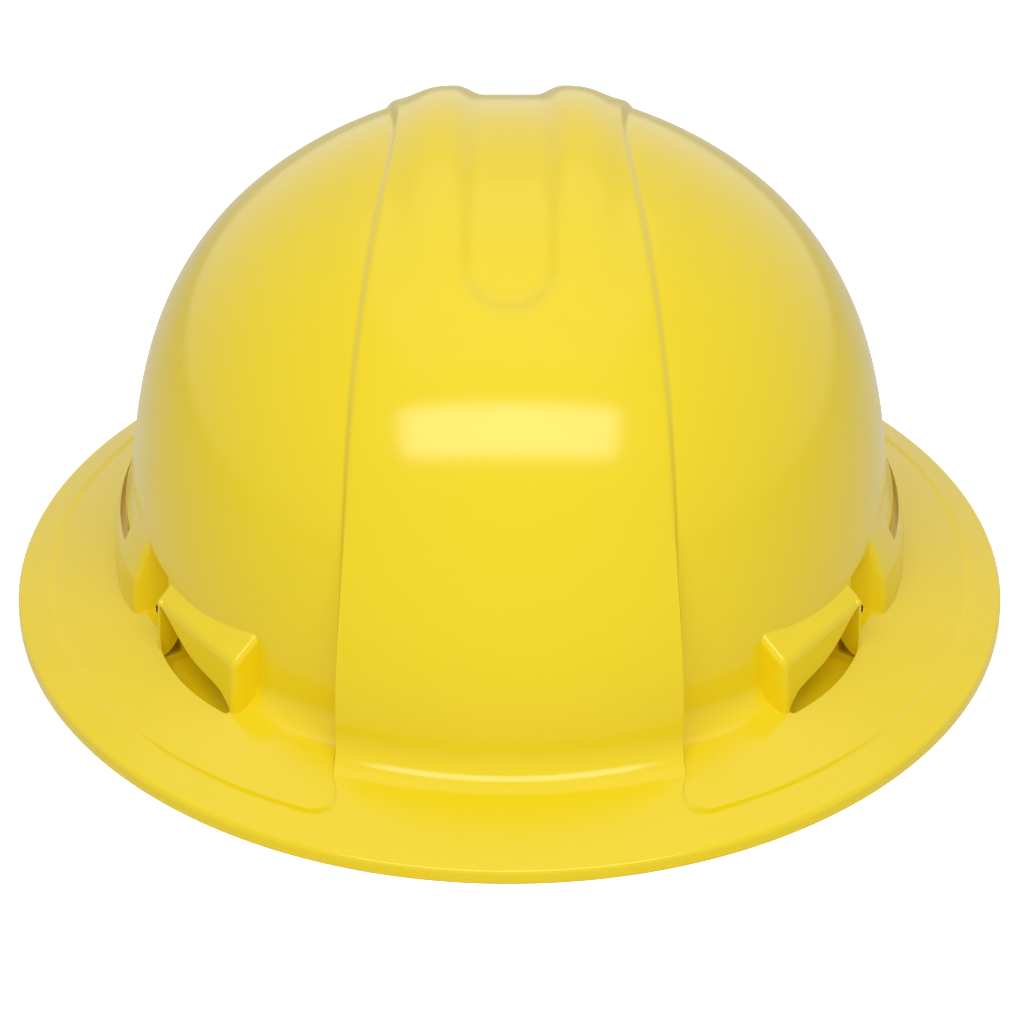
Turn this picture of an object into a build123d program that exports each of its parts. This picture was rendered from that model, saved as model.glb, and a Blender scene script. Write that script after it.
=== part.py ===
from build123d import *
from math import atan2, cos, degrees, hypot, pi, radians, sin, tan
import os

# A full brim hard hat with its ratchet suspension, in millimetres and degrees.
# The origin is under the middle of the hat, in the plane that the rim rests on.
# The front faces -Y, the wearer's left is +X and the crown points up +Z.

# Outside of the shell
brim_width = 285.0
brim_length = 330.0
dome_length = 252.0
plain_crown = 137.3
plain_crown_radius = 151.0
crown_angle = 36.0
shoulder_angle = 75.5
rim_height = 3.4
rim_rounding = 1.4
rim_lip = 3.2
rim_border = 11.0
brim_slope = 14.0
foot_rounding = 7.0
shell_wall = 2.4
overrun = 2.0

# The raised band that runs from the front of the brim over the crown to its back
band_proud = 1.4
brim_step = 0.9
band_half_crown = 31.0
band_half_foot = 43.0
band_straight = 118.0
band_bend = 80.0
panel_corner = 9.0

# The two crown ridges and the groove between them
ridge_crest = 138.7
ridge_arch = 140.0
ridge_reach = 35.0
ridge_half_crest = 17.8
ridge_half_flank = 25.4
ridge_flank = 137.3
ridge_half_foot = 29.8
ridge_foot = 134.7
ridge_root = 4.0
groove_half_floor = 8.2
groove_half_crest = 14.6
groove_depth = 3.3
groove_sink = 1.9
groove_reach = 26.5
groove_headroom = 3.0

# Hollow boss in front of and behind each side, on a plane turned from the hat's long axis
boss_turn = 54.9
boss_face = 119.4
boss_draft = 0.9
boss_length = 40.5
boss_start = 4.7
boss_middle = 20.5
boss_sill = 26.2
boss_top = 33.0
boss_root = 106.0
boss_foot = 8.0
boss_edge_rounding = 1.2
boss_nose_rounding = 2.4

# Recess under the outer wall of a boss, and the sloping lower edge of that wall
recess_floor = 6.8
recess_wall = 2.0
recess_back = 110.6
recess_bulge = 122.1
recess_end = 16.7
recess_tail = 0.5
recess_tail_height = 12.5
recess_nose = 2.2
recess_low = 12.0
recess_knee = 15.8
recess_sag = 18.3
recess_roof = 25.4
recess_knee_share = 0.77
recess_sag_share = 0.34

# Hood of the accessory slot on each side, in shares of the dome's foot
hood_share = 1.052
hood_sill_share = 1.045
hood_crest_share = 0.985
hood_front = -45.0
hood_back = 46.0
hood_foot = 10.2
hood_sill = 23.0
hood_crest = 38.0
hood_root = 88.0
lip_groove_inner_share = 1.012
lip_groove_outer_share = 1.03
lip_groove_floor = 22.0
lip_groove_end = 7.0
slot_inner_share = 0.993
slot_width = 3.2
slot_half_length = 30.0
slot_top = 18.0

# Dark pocket between the front boss and the hood
pocket_front = -63.0
pocket_back = -36.0
pocket_inner_share = 0.945
pocket_floor = 14.5
pocket_top = 28.5
pocket_wall = 2.4

# Key lug inside the dome, measured like the boss
lug_inner = 102.5
lug_outer = 110.9
lug_length = 36.0
lug_foot = 8.6
lug_top = 26.0
lug_rounding = 1.5

# Suspension keys
key_tongue_width = 27.4
key_tongue_thickness = 3.0
key_tongue_top = 23.0
key_slot_inner = 104.4
key_clearance = 0.25
key_plate_floor = 4.4
key_plate_top = 8.3
key_plate_length = 28.6
key_shelf_inner = 88.6
key_shelf_width = 27.0
key_rounding = 1.2
key_post_inner = 96.0
key_post_thickness = 2.5
key_post_width = 25.0
key_bar_floor = 12.0
key_bar_top = 16.5
key_window_width = 20.6

# Crown straps
strap_width = 19.0
strap_thickness = 1.2
strap_gap = 0.5
strap_spring = 34.0
strap_top = 105.0
strap_lap = 0.6
strap_turn_height = 20.5

# Headband: the rear half is a circle round this centre, the front half an ellipse
band_centre = 8.0
band_front_reach = 104.0
strip_thickness = 1.4
strip_floor = 9.0
strip_top = 33.0
layer_gap = 0.4
inner_strip = 80.0
front_band_thickness = 2.2
front_band_start = 34.0
front_band_floor = 8.6
front_band_top = 35.0
front_band_rounding = 3.0
arm_gap = 0.6

# Hanger posts of the headband, in the keys' shelves
post_inner = 91.4
post_thickness = 1.6
post_width = 16.0
post_floor = 3.4
post_top = 25.0
post_bridge = 4.0
post_clearance = 0.3

# Ratchet
knob_height = 21.0
tooth_module = 1.25
pinion_teeth = 8
tooth_width_share = 0.4
tooth_flank = 20.0
rack_addendum_share = 0.9
rack_dedendum_share = 1.2
pinion_tip_share = 0.32
rack_end = 33.0
rack_slot_half = 23.0
rack_tip = 28.0
rack_slot_clearance = 0.6
housing_half = 34.0
housing_floor = 2.6
housing_top = 39.4
housing_wall = 2.0
housing_corner = 4.0
running_gap = 0.4
seat_gap = 0.3
pinion_journal = 3.0
pinion_hub = 4.4
pinion_square = 6.0
journal_clearance = 0.05
turret_radius = 14.0
turret_reach = 1.6
collar_reach = 2.2

# Housing screws
screw_radius = 1.0
screw_head_radius = 1.9
screw_head_height = 1.0
screw_slot = 0.6
screw_slot_depth = 0.5
screw_place = 30.5
screw_inset = 2.9

# Knob, its detent and its screw
knob_radius = 18.0
knob_depth = 12.0
knob_gap = 0.5
knob_scallops = 12
scallop_radius = 3.2
scallop_share = 1.1
knob_rounding = 1.2
knob_cavity = 13.7
knob_cavity_depth = 4.0
square_grip = 2.5
detent_teeth = 24
detent_tooth_depth = 1.0
detent_clearance = 0.35
detent_thickness = 2.2
detent_hub = 8.6
detent_bore = 6.4
detent_arm = 1.4
detent_arms = 3
detent_arm_sweep = 75.0
cap_radius = 8.0
cap_depth = 2.0
cap_clearance = 0.1
knob_screw_radius = 1.5
knob_screw_head = 3.4
knob_screw_head_height = 1.8
knob_screw_bore = 9.0
knob_screw_slot = 0.8
knob_screw_slot_depth = 0.9

# Rear hangers
hanger_thickness = 1.6
hanger_start = 21.0
hanger_end = 51.0
hanger_floor = 13.0
hanger_top = 29.0
hanger_peg_place = 26.0
hanger_peg_radius = 2.3
hanger_peg_reach = 2.9
hanger_hole_clearance = 0.2
hanger_hole_pitch = 4.6

# Pads
pad_gap = 0.3
brow_pad_thickness = 6.0
brow_pad_start = 41.0
brow_pad_floor = 5.0
brow_pad_top = 38.0
brow_pad_rounding = 2.6
nape_pad_thickness = 6.0
nape_pad_half = 31.0
nape_pad_floor = 5.0
nape_pad_top = 37.0
nape_pad_rounding = 2.6

# Values worked out from the sizes above
width_share = brim_width / brim_length
foot_radius = dome_length / 2
foot_half_width = foot_radius * width_share
outer_strip = inner_strip + strip_thickness + layer_gap
channel_inner = inner_strip - running_gap
channel_outer = outer_strip + strip_thickness + running_gap
housing_outer = channel_outer + housing_wall
pinion_radius = tooth_module * pinion_teeth / 2
tooth_pitch = pi * tooth_module
front_band_middle = (inner_strip + outer_strip + strip_thickness) / 2
slot_outer_share = slot_inner_share + slot_width / foot_half_width
key_offset = key_slot_inner + key_clearance + key_tongue_thickness / 2
boss_sine = sin(radians(boss_turn))
boss_cosine = cos(radians(boss_turn))
key_across = key_offset * boss_sine - boss_middle * boss_cosine
key_ahead = key_offset * boss_cosine + boss_middle * boss_sine
strap_turn = degrees(atan2(key_across, key_ahead))
knob_start = housing_outer + turret_reach + knob_gap


def upright(turn, shift=0):
    """Vertical plane through the origin: local X points outwards at the turn, local Y points up."""
    outward = (sin(radians(turn)), -cos(radians(turn)), 0)
    forward = (-cos(radians(turn)), -sin(radians(turn)), 0)
    return Plane(origin=(0, 0, 0), x_dir=outward, z_dir=forward).offset(shift)


def level(turn, height):
    """Horizontal plane at a height: local X points outwards at the turn."""
    outward = (sin(radians(turn)), -cos(radians(turn)), 0)
    return Plane(origin=(0, 0, height), x_dir=outward, z_dir=(0, 0, 1))


def brim_surface(radius, offset):
    """Height of the sloping brim at a radius, moved square to itself by the offset."""
    rise = (brim_length / 2 - radius) * tan(radians(brim_slope))
    return rim_height + offset / cos(radians(brim_slope)) + rise


def hat_form(foot, apex, crown_radius, rim, offset, edge, fillet_radius, floor):
    """Solid of revolution of the hat's half section: brim, foot and a dome of three tangent arcs."""
    lean = sin(radians(brim_slope))
    rise = cos(radians(brim_slope))
    edge_end = rim - edge + edge * lean
    side_top = brim_surface(edge_end, offset) - edge * rise
    bend = foot + fillet_radius * (1 - lean)
    bend_height = brim_surface(bend, offset)
    wall_start = bend_height + fillet_radius * rise
    crown_sine = sin(radians(crown_angle))
    crown_cosine = cos(radians(crown_angle))
    shoulder_sine = sin(radians(shoulder_angle))
    shoulder_cosine = cos(radians(shoulder_angle))
    # The two lower radii follow from the reach and the drop that the crown arc leaves
    reach = foot - crown_radius * crown_sine
    drop = apex - crown_radius * (1 - crown_cosine) - wall_start
    middle_reach = shoulder_sine - crown_sine
    middle_drop = crown_cosine - shoulder_cosine
    side_reach = 1 - shoulder_sine
    whole = middle_reach * shoulder_cosine - side_reach * middle_drop
    shoulder_radius = (reach * shoulder_cosine - side_reach * drop) / whole
    side_radius = (middle_reach * drop - middle_drop * reach) / whole
    with BuildPart() as form:
        with BuildSketch(Plane.XZ):
            with BuildLine():
                crown = JernArc((0, apex), (1, 0), crown_radius, -crown_angle)
                shoulder = JernArc(crown @ 1, crown % 1, shoulder_radius, crown_angle - shoulder_angle)
                JernArc(shoulder @ 1, shoulder % 1, side_radius, shoulder_angle - 90)
                TangentArc((bend, bend_height), (foot, wall_start), tangent=(-rise, lean))
                Line((edge_end, side_top + edge * rise), (bend, bend_height))
                TangentArc((rim, side_top), (edge_end, side_top + edge * rise), tangent=(0, 1))
                Line((rim, floor), (rim, side_top))
                Line((0, floor), (rim, floor))
                Line((0, apex), (0, floor))
            make_face()
        revolve(axis=Axis.Z)
    return form.part


def four_corners(solid):
    """The solid and its mirror images at the other three corners of the hat."""
    across = mirror(solid, about=Plane.YZ)
    return [solid, across, mirror(solid, about=Plane.XZ), mirror(across, about=Plane.XZ)]


def both_sides(solid):
    """The solid and its mirror image on the other side of the hat."""
    return [solid, mirror(solid, about=Plane.YZ)]


def ring_sector(inner_share, outer_share, front, back):
    """Plan of a strip that follows the dome's foot on the +X side, between two stations."""
    Ellipse(foot_half_width * outer_share, foot_radius * outer_share)
    Ellipse(foot_half_width * inner_share, foot_radius * inner_share, mode=Mode.SUBTRACT)
    with Locations((foot_half_width, (front + back) / 2)):
        Rectangle(foot_half_width * 2, back - front, mode=Mode.INTERSECT)


def hood_section(share):
    """Plan of the hood at one height: the inside of a larger dome foot between two stations."""
    Ellipse(foot_half_width * share, foot_radius * share)
    with Locations((hood_root, (hood_front + hood_back) / 2)):
        Rectangle(
            foot_half_width,
            hood_back - hood_front,
            align=(Align.MIN, Align.CENTER),
            mode=Mode.INTERSECT,
        )


def strip_face(inner, outer, front_inner, front_outer, start, end):
    """Plan of a headband strip between two curves round the band centre."""
    centre = (0, band_centre)
    with BuildSketch(Plane.XY) as plan:
        with BuildLine():
            outside = EllipticalCenterArc(centre, outer, front_outer, start, arc_size=end - start)
            inside = EllipticalCenterArc(centre, inner, front_inner, start, arc_size=end - start)
            Line(outside @ 0, inside @ 0)
            Line(outside @ 1, inside @ 1)
        make_face()
    return plan.sketch


def round_strip(inner, outer, start, end):
    """Plan of a strip on the headband's round half, with angles from the middle of the back."""
    return strip_face(inner, outer, inner, outer, 90 + start, 90 + end)


def radial_plane(angle, reach, height):
    """Plane square to the headband's round half, at an angle from the middle of the back."""
    along = radians(90 + angle)
    place = (reach * cos(along), band_centre + reach * sin(along), height)
    return Plane(origin=place, x_dir=(-sin(along), cos(along), 0), z_dir=(cos(along), sin(along), 0))


def finish(piece, name):
    """Name the finished piece and write it as its own file."""
    piece.part.label = name
    export_step(piece.part, f"parts/{name}.step")


os.makedirs("parts", exist_ok=True)

# The shell is cut as a round hat and then drawn in across, from circles to ellipses.
# Sizes across the round hat are divided by the width share.
banded_form = hat_form(
    foot_radius + band_proud,
    plain_crown + band_proud,
    plain_crown_radius + band_proud,
    brim_length / 2,
    brim_step,
    rim_rounding,
    foot_rounding,
    -overrun,
)
plain_form = hat_form(
    foot_radius,
    plain_crown,
    plain_crown_radius,
    brim_length / 2 + overrun,
    0,
    rim_rounding,
    foot_rounding,
    -overrun,
)
cavity_form = hat_form(
    foot_radius - shell_wall,
    plain_crown - shell_wall,
    plain_crown_radius - shell_wall,
    brim_length / 2 - rim_lip,
    -shell_wall,
    rim_rounding / 2,
    foot_rounding + shell_wall,
    -2 * overrun,
)

# The two side panels lie lower than the band and the rim border round them
half_crown = band_half_crown / width_share
half_foot = band_half_foot / width_share
far = brim_length / 2 + overrun
with BuildPart() as panel_cut:
    with BuildSketch() as panel_plan:
        with BuildLine():
            Polyline(
                (half_foot, -far),
                (half_foot, -band_straight),
                (half_crown, 0),
                (half_foot, band_straight),
                (half_foot, far),
                (far, far),
                (far, -far),
                close=True,
            )
        make_face()
        bends = panel_plan.vertices().filter_by(lambda corner: abs(corner.Y) < band_straight + overrun)
        fillet(bends, radius=band_bend)
        Circle(brim_length / 2 - rim_border, mode=Mode.INTERSECT)
        corners = panel_plan.vertices().filter_by(lambda corner: abs(corner.Y) > foot_radius + overrun)
        fillet(corners, radius=panel_corner)
    extrude(amount=ridge_crest + overrun)
    mirror(about=Plane.YZ)
    add(plain_form, mode=Mode.SUBTRACT)


# The two crown ridges as one arch from front to back, which dips into the band at its ends
ridge_centre = ridge_crest - ridge_arch
half_crest = ridge_half_crest / width_share
half_flank = ridge_half_flank / width_share
half_ridge = ridge_half_foot / width_share
with BuildSketch() as ridge_section:
    with BuildLine():
        ThreePointArc((half_ridge, ridge_foot), (half_flank, ridge_flank), (half_crest, ridge_crest))
        Line((half_crest, ridge_crest), (-half_crest, ridge_crest))
        ThreePointArc((-half_crest, ridge_crest), (-half_flank, ridge_flank), (-half_ridge, ridge_foot))
        Line((-half_ridge, ridge_foot), (-half_ridge, ridge_foot - ridge_root))
        Line((-half_ridge, ridge_foot - ridge_root), (half_ridge, ridge_foot - ridge_root))
        Line((half_ridge, ridge_foot - ridge_root), (half_ridge, ridge_foot))
    make_face()

# Outline of the crown groove, wider at the top than at its floor, and of the wall under it
groove_floor = plain_crown - groove_sink
groove_flare = (groove_half_crest - groove_half_floor) * (1 + groove_headroom / groove_depth)
half_floor = groove_half_floor / width_share
half_ceiling = (groove_half_floor + groove_flare) / width_share
half_pan = (groove_half_floor + shell_wall) / width_share
with BuildSketch() as groove_section:
    with BuildLine():
        Polyline(
            (half_floor, groove_floor),
            (half_ceiling, groove_floor + groove_depth + groove_headroom),
            (-half_ceiling, groove_floor + groove_depth + groove_headroom),
            (-half_floor, groove_floor),
            close=True,
        )
    make_face()
with BuildSketch() as pan_section:
    with Locations((0, groove_floor)):
        Rectangle(2 * half_pan, 2 * shell_wall)


def arch(section, centre, reach):
    """Part made by turning a section about a line across the hat, to the front and to the back."""
    with BuildPart() as form:
        for way in (1, -1):
            with BuildSketch(Plane.XZ):
                add(section.sketch)
            revolve(axis=Axis((0, 0, centre), (1, 0, 0)), revolution_arc=way * reach)
    return form.part


# The groove follows the crown's curve and ends in a round hollow at each end
groove_centre = plain_crown - plain_crown_radius
groove_radius = plain_crown_radius - groove_sink
with BuildPart() as groove_cut:
    add(arch(groove_section, groove_centre, groove_reach))
    for way in (1, -1):
        end = Plane(origin=(0, 0, groove_centre)).rotated((way * groove_reach, 0, 0))
        with Locations(end.offset(groove_radius)):
            Cone(
                half_floor,
                half_ceiling,
                groove_depth + groove_headroom,
                align=(Align.CENTER, Align.CENTER, Align.MIN),
            )
with BuildPart() as round_shell:
    add(banded_form)
    add(panel_cut.part, mode=Mode.SUBTRACT)
    add(arch(ridge_section, ridge_centre, ridge_reach))
    add(cavity_form, mode=Mode.SUBTRACT)
    add(arch(pan_section, groove_centre, groove_reach))
    add(groove_cut.part, mode=Mode.SUBTRACT)
with BuildPart() as main_moulding:
    add(scale(round_shell.part, by=(width_share, 1, 1)))
    split(bisect_by=Plane.XY, keep=Keep.TOP)
head_space = scale(cavity_form, by=(width_share, 1, 1))

# Hollow boss at one corner
with BuildPart() as boss:
    with BuildSketch(upright(boss_turn, boss_start)):
        with BuildLine():
            Polyline(
                (boss_root, boss_foot),
                (boss_face, boss_foot),
                (boss_face - boss_draft, boss_sill),
                (recess_back, boss_top),
                (boss_root, boss_top),
                close=True,
            )
        make_face()
    extrude(amount=boss_length)
    end_face = boss.faces().sort_by(Axis(origin=(0, 0, 0), direction=(-boss_cosine, -boss_sine, 0)))[-1]
    nose = end_face.edges().filter_by(lambda rim: rim.center().Z > boss_sill)
    fillet(nose.filter_by(lambda rim: rim.center().Z < boss_top - boss_edge_rounding), boss_nose_rounding)

# Recess under the sloping lower edge of the boss wall
recess_start = boss_start - recess_end
recess_stop = boss_start + boss_length - recess_nose


with BuildSketch() as recess_plan:
    with BuildLine():
        bow = ThreePointArc(
            (boss_face + boss_draft, -recess_stop),
            (recess_bulge, -boss_start - boss_length / 2),
            (recess_back, -recess_start),
        )
        Line(bow @ 1, (recess_back, -recess_stop))
        Line((recess_back, -recess_stop), bow @ 0)
    make_face()
with BuildPart() as recess:
    with BuildSketch(level(boss_turn, recess_floor)):
        add(recess_plan.sketch)
    extrude(amount=recess_roof - recess_floor)
    slope_plane = Plane(
        origin=(0, 0, 0),
        x_dir=(-boss_cosine, -boss_sine, 0),
        z_dir=(-boss_sine, boss_cosine, 0),
    )
    with BuildSketch(slope_plane.offset(-recess_bulge - overrun)):
        with BuildLine():
            Polyline(
                (recess_stop + overrun, recess_low),
                (recess_stop, recess_low),
                (boss_start + boss_length * recess_knee_share, recess_knee),
                (boss_start + boss_length * recess_sag_share, recess_sag),
                (boss_start, recess_roof),
                (boss_start - recess_tail, recess_tail_height),
                (recess_start - overrun, recess_tail_height),
                (recess_start - overrun, recess_roof + overrun),
                (recess_stop + overrun, recess_roof + overrun),
                close=True,
            )
        make_face()
    extrude(amount=recess_bulge + overrun - recess_back, mode=Mode.SUBTRACT)

# Hood of the accessory slot on the +X side
with BuildPart() as hood:
    with BuildSketch(Plane.XY.offset(hood_foot)):
        hood_section(hood_share)
    with BuildSketch(Plane.XY.offset(hood_sill)):
        hood_section(hood_sill_share)
    loft(ruled=True)
    with BuildSketch(Plane.XY.offset(hood_sill)):
        hood_section(hood_sill_share)
    with BuildSketch(Plane.XY.offset(hood_crest)):
        hood_section(hood_crest_share)
    loft(ruled=True)
    with BuildSketch(Plane.XY.offset(lip_groove_floor)):
        ring_sector(
            lip_groove_inner_share,
            lip_groove_outer_share,
            hood_front + lip_groove_end,
            hood_back - lip_groove_end,
        )
    extrude(amount=hood_crest - lip_groove_floor, mode=Mode.SUBTRACT)

# Accessory slot under the hood, open downwards
with BuildPart() as accessory_slot:
    with BuildSketch(Plane.XY.offset(-overrun)):
        ring_sector(slot_inner_share, slot_outer_share, -slot_half_length, slot_half_length)
    extrude(amount=slot_top + overrun)

# Pocket in the dome between the front boss and the hood, and the wall behind it
with BuildPart() as pocket:
    with BuildSketch(Plane.XY.offset(pocket_floor)):
        ring_sector(pocket_inner_share, hood_share, pocket_front, pocket_back)
    extrude(amount=pocket_top - pocket_floor)
pocket_back_share = pocket_inner_share - pocket_wall / foot_half_width
with BuildPart() as pocket_backing:
    with BuildSketch(Plane.XY.offset(pocket_floor - pocket_wall)):
        ring_sector(pocket_back_share, hood_crest_share, pocket_front - pocket_wall, pocket_back + pocket_wall)
    extrude(amount=pocket_top - pocket_floor + 2 * pocket_wall)

# Lug with the key slot inside the dome
with BuildPart() as lug:
    with BuildSketch(level(boss_turn, lug_foot)):
        with Locations(((lug_inner + lug_outer) / 2, -boss_middle)):
            Rectangle(lug_outer - lug_inner, lug_length)
    extrude(amount=lug_top - lug_foot)
    inner_edges = lug.edges().filter_by(Axis.Z).sort_by(lambda rim: hypot(rim.center().X, rim.center().Y))
    fillet(inner_edges[:2], lug_rounding)
key_slot_width = key_tongue_width + 2 * key_clearance
key_slot_depth = key_tongue_thickness + 2 * key_clearance
with BuildPart() as key_slot:
    with BuildSketch(level(boss_turn, lug_foot - overrun)):
        with Locations((key_offset, -boss_middle)):
            Rectangle(key_slot_depth, key_slot_width)
    extrude(amount=key_tongue_top + key_clearance - lug_foot + overrun)

# Pan under the recess, so that it stays closed below the brim
with BuildPart() as recess_pan:
    with BuildSketch(level(boss_turn, recess_floor - recess_wall)):
        add(recess_plan.sketch)
        offset(amount=recess_wall)
    extrude(amount=2 * recess_wall)

# Shell: one moulding with its band, groove, panels, bosses, hoods and lugs
outer_features = [Part() + four_corners(boss.part) + both_sides(hood.part) - head_space]
with BuildPart() as shell:
    add(main_moulding.part)
    add(outer_features)
    add(four_corners(recess_pan.part))
    add(four_corners(lug.part))
    add(four_corners(pocket_backing.part))
    add(four_corners(pocket.part), mode=Mode.SUBTRACT)
    add(four_corners(recess.part), mode=Mode.SUBTRACT)
    add(four_corners(key_slot.part), mode=Mode.SUBTRACT)
    add(both_sides(accessory_slot.part), mode=Mode.SUBTRACT)
finish(shell, "shell")

# Suspension key: a tongue in the lug, a shelf under it and a bar for the crown strap
with BuildPart() as corner_key:
    with BuildSketch(level(boss_turn, key_plate_floor)):
        with Locations((key_offset, -boss_middle)):
            Rectangle(key_tongue_thickness, key_tongue_width)
    extrude(amount=key_tongue_top - key_plate_floor)
    with BuildSketch(level(strap_turn, key_plate_floor)):
        shelf_outer = hypot(key_across, key_ahead)
        with Locations(((key_shelf_inner + shelf_outer) / 2, 0)):
            Rectangle(shelf_outer - key_shelf_inner, key_shelf_width)
    with BuildSketch(level(boss_turn, key_plate_floor)):
        with Locations((key_offset - key_tongue_thickness / 2, -boss_middle)):
            Rectangle(2 * key_tongue_thickness, key_plate_length)
    extrude(amount=key_plate_top - key_plate_floor)
    with BuildSketch(level(strap_turn, key_plate_floor)):
        with Locations((key_post_inner + key_post_thickness / 2, 0)):
            Rectangle(key_post_thickness, key_post_width)
    extrude(amount=key_bar_top - key_plate_floor)
    with BuildSketch(level(strap_turn, key_plate_top)):
        with Locations((key_post_inner + key_post_thickness / 2, 0)):
            Rectangle(key_post_thickness + overrun, key_window_width)
    extrude(amount=key_bar_floor - key_plate_top, mode=Mode.SUBTRACT)
    with BuildSketch(level(strap_turn, key_plate_floor)):
        with Locations((post_inner + post_thickness / 2, 0)):
            Rectangle(post_thickness + 2 * post_clearance, post_width + 2 * post_clearance)
    extrude(amount=key_plate_top - key_plate_floor, mode=Mode.SUBTRACT)
corner_names = ("front_left_key", "front_right_key", "rear_left_key", "rear_right_key")
for name, solid in zip(corner_names, four_corners(corner_key.part)):
    with BuildPart() as key:
        add(solid)
    finish(key, name)


def crown_strap(turn, apex):
    """Webbing arch across the hat, with each end looped round a key's bar and sewn back."""
    loop_inner = key_post_inner - strap_gap - strap_thickness
    loop_outer = key_post_inner + key_post_thickness + strap_gap + strap_thickness
    lap_outer = loop_inner + strap_thickness * 2 + strap_lap
    loop_floor = key_bar_floor - post_clearance - strap_thickness
    arch_outer = loop_inner + strap_thickness
    with BuildPart() as strap:
        with BuildSketch(upright(turn)):
            with BuildLine():
                outside = EllipticalCenterArc((0, strap_spring), arch_outer, apex - strap_spring, arc_size=180)
                inside_rise = apex - strap_spring - strap_thickness
                inside = EllipticalCenterArc((0, strap_spring), loop_inner, inside_rise, arc_size=180)
                Line(outside @ 0, inside @ 0)
                Line(outside @ 1, inside @ 1)
            make_face()
            for side in (1, -1):
                with BuildLine():
                    Polyline(
                        (side * loop_inner, strap_spring),
                        (side * loop_inner, loop_floor),
                        (side * loop_outer, loop_floor),
                        (side * loop_outer, key_bar_top + strap_gap),
                        (side * lap_outer, strap_turn_height),
                        (side * lap_outer, strap_spring),
                        close=True,
                    )
                make_face()
                with BuildLine():
                    Polyline(
                        (side * arch_outer, loop_floor + strap_thickness),
                        (side * (loop_outer - strap_thickness), loop_floor + strap_thickness),
                        (side * (loop_outer - strap_thickness), key_bar_top + post_clearance),
                        (side * arch_outer, strap_turn_height - strap_thickness),
                        close=True,
                    )
                make_face(mode=Mode.SUBTRACT)
        extrude(amount=strap_width / 2, both=True)
    return strap


finish(crown_strap(strap_turn, strap_top), "lower_crown_strap")
upper_strap_top = strap_top + strap_thickness + strap_lap
finish(crown_strap(-strap_turn, upper_strap_top), "upper_crown_strap")

# Front half of the headband, with a hanger post at each end
half_front = front_band_thickness / 2
with BuildPart() as headband_front:
    with BuildSketch(Plane.XY.offset(front_band_floor)):
        add(
            strip_face(
                front_band_middle - half_front,
                front_band_middle + half_front,
                band_front_reach - half_front,
                band_front_reach + half_front,
                180 + front_band_start,
                360 - front_band_start,
            )
        )
    extrude(amount=front_band_top - front_band_floor)
    corners = headband_front.edges().filter_by(
        lambda rim: abs(rim.length - front_band_thickness) < layer_gap / 2 and rim.center().Y > -front_band_middle
    )
    fillet(corners, front_band_rounding)
    for turn in (strap_turn, -strap_turn):
        with BuildSketch(level(turn, post_floor)):
            with Locations((post_inner + post_thickness / 2, 0)):
                Rectangle(post_thickness, post_width)
        extrude(amount=post_top - post_floor)
        bridge_inner = post_inner - post_bridge - post_thickness
        with BuildSketch(level(turn, post_top - post_bridge)):
            with Locations(((bridge_inner + post_inner + post_thickness) / 2, 0)):
                Rectangle(post_inner + post_thickness - bridge_inner, post_width)
        extrude(amount=post_bridge)
    with BuildSketch(Plane.XY.offset(post_floor)):
        with Locations((0, band_centre)):
            Ellipse(front_band_middle - half_front, band_front_reach - half_front)
    extrude(amount=front_band_top - post_floor, mode=Mode.SUBTRACT)
finish(headband_front, "headband_front")


def headband_arm(inner):
    """Flexible side of the headband on the +X side, from the front half back to the rack's end."""
    outer = inner + strip_thickness
    front_inner = band_front_reach - strip_thickness / 2
    front_outer = band_front_reach + strip_thickness / 2
    with BuildPart() as arm:
        with BuildSketch(Plane.XY.offset(strip_floor)):
            seam = degrees(arm_gap / inner)
            add(strip_face(inner, outer, front_inner, front_outer, -front_band_start + seam, 0))
            add(strip_face(inner, outer, inner, outer, 0, 90 - rack_end - seam))
        extrude(amount=strip_top - strip_floor)
    return arm


def mirrored(piece):
    """A new part that is the mirror image of the piece across the hat's middle."""
    with BuildPart() as copy:
        add(mirror(piece.part, about=Plane.YZ))
    return copy


finish(headband_arm(inner_strip), "left_headband_arm")
finish(mirrored(headband_arm(outer_strip)), "right_headband_arm")


def rack(inner, toothed_above):
    """Curved rack strip that ends in a tip past the pinion, with its teeth on one edge of the slot."""
    outer = inner + strip_thickness
    middle = (inner + outer) / 2
    pitch_angle = degrees(tooth_pitch / middle)
    way = 1 if toothed_above else -1
    pitch_line = knob_height + way * pinion_radius
    root_line = pitch_line + way * rack_dedendum_share * tooth_module
    tip_line = pitch_line - way * rack_addendum_share * tooth_module
    clear_line = knob_height - way * (pinion_radius + tooth_module + rack_slot_clearance)
    tooth_half = tooth_pitch * tooth_width_share / 2
    tip_half = tooth_half - rack_addendum_share * tooth_module * tan(radians(tooth_flank))
    root_half = tooth_half + rack_dedendum_share * tooth_module * tan(radians(tooth_flank))
    tooth_root = root_line + way * tooth_module
    slot_low = min(root_line, clear_line)
    teeth = int(rack_slot_half / pitch_angle) - 1
    with BuildPart() as slot:
        with BuildSketch(Plane.XY.offset(slot_low)):
            add(round_strip(inner - overrun, outer + overrun, -rack_slot_half, rack_slot_half))
        extrude(amount=abs(root_line - clear_line))
        for count in range(-teeth, teeth + 1):
            with BuildSketch(radial_plane(pitch_angle * count, inner - 2 * overrun, 0)):
                with BuildLine():
                    Polyline(
                        (-root_half, root_line),
                        (-tip_half, tip_line),
                        (tip_half, tip_line),
                        (root_half, root_line),
                        (root_half, tooth_root),
                        (-root_half, tooth_root),
                        close=True,
                    )
                make_face()
            extrude(amount=strip_thickness + 4 * overrun, mode=Mode.SUBTRACT)
    with BuildPart() as strip:
        with BuildSketch(Plane.XY.offset(strip_floor)):
            add(round_strip(inner, outer, -rack_end, rack_tip))
        extrude(amount=strip_top - strip_floor)
        add(slot.part, mode=Mode.SUBTRACT)
    return strip


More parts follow.
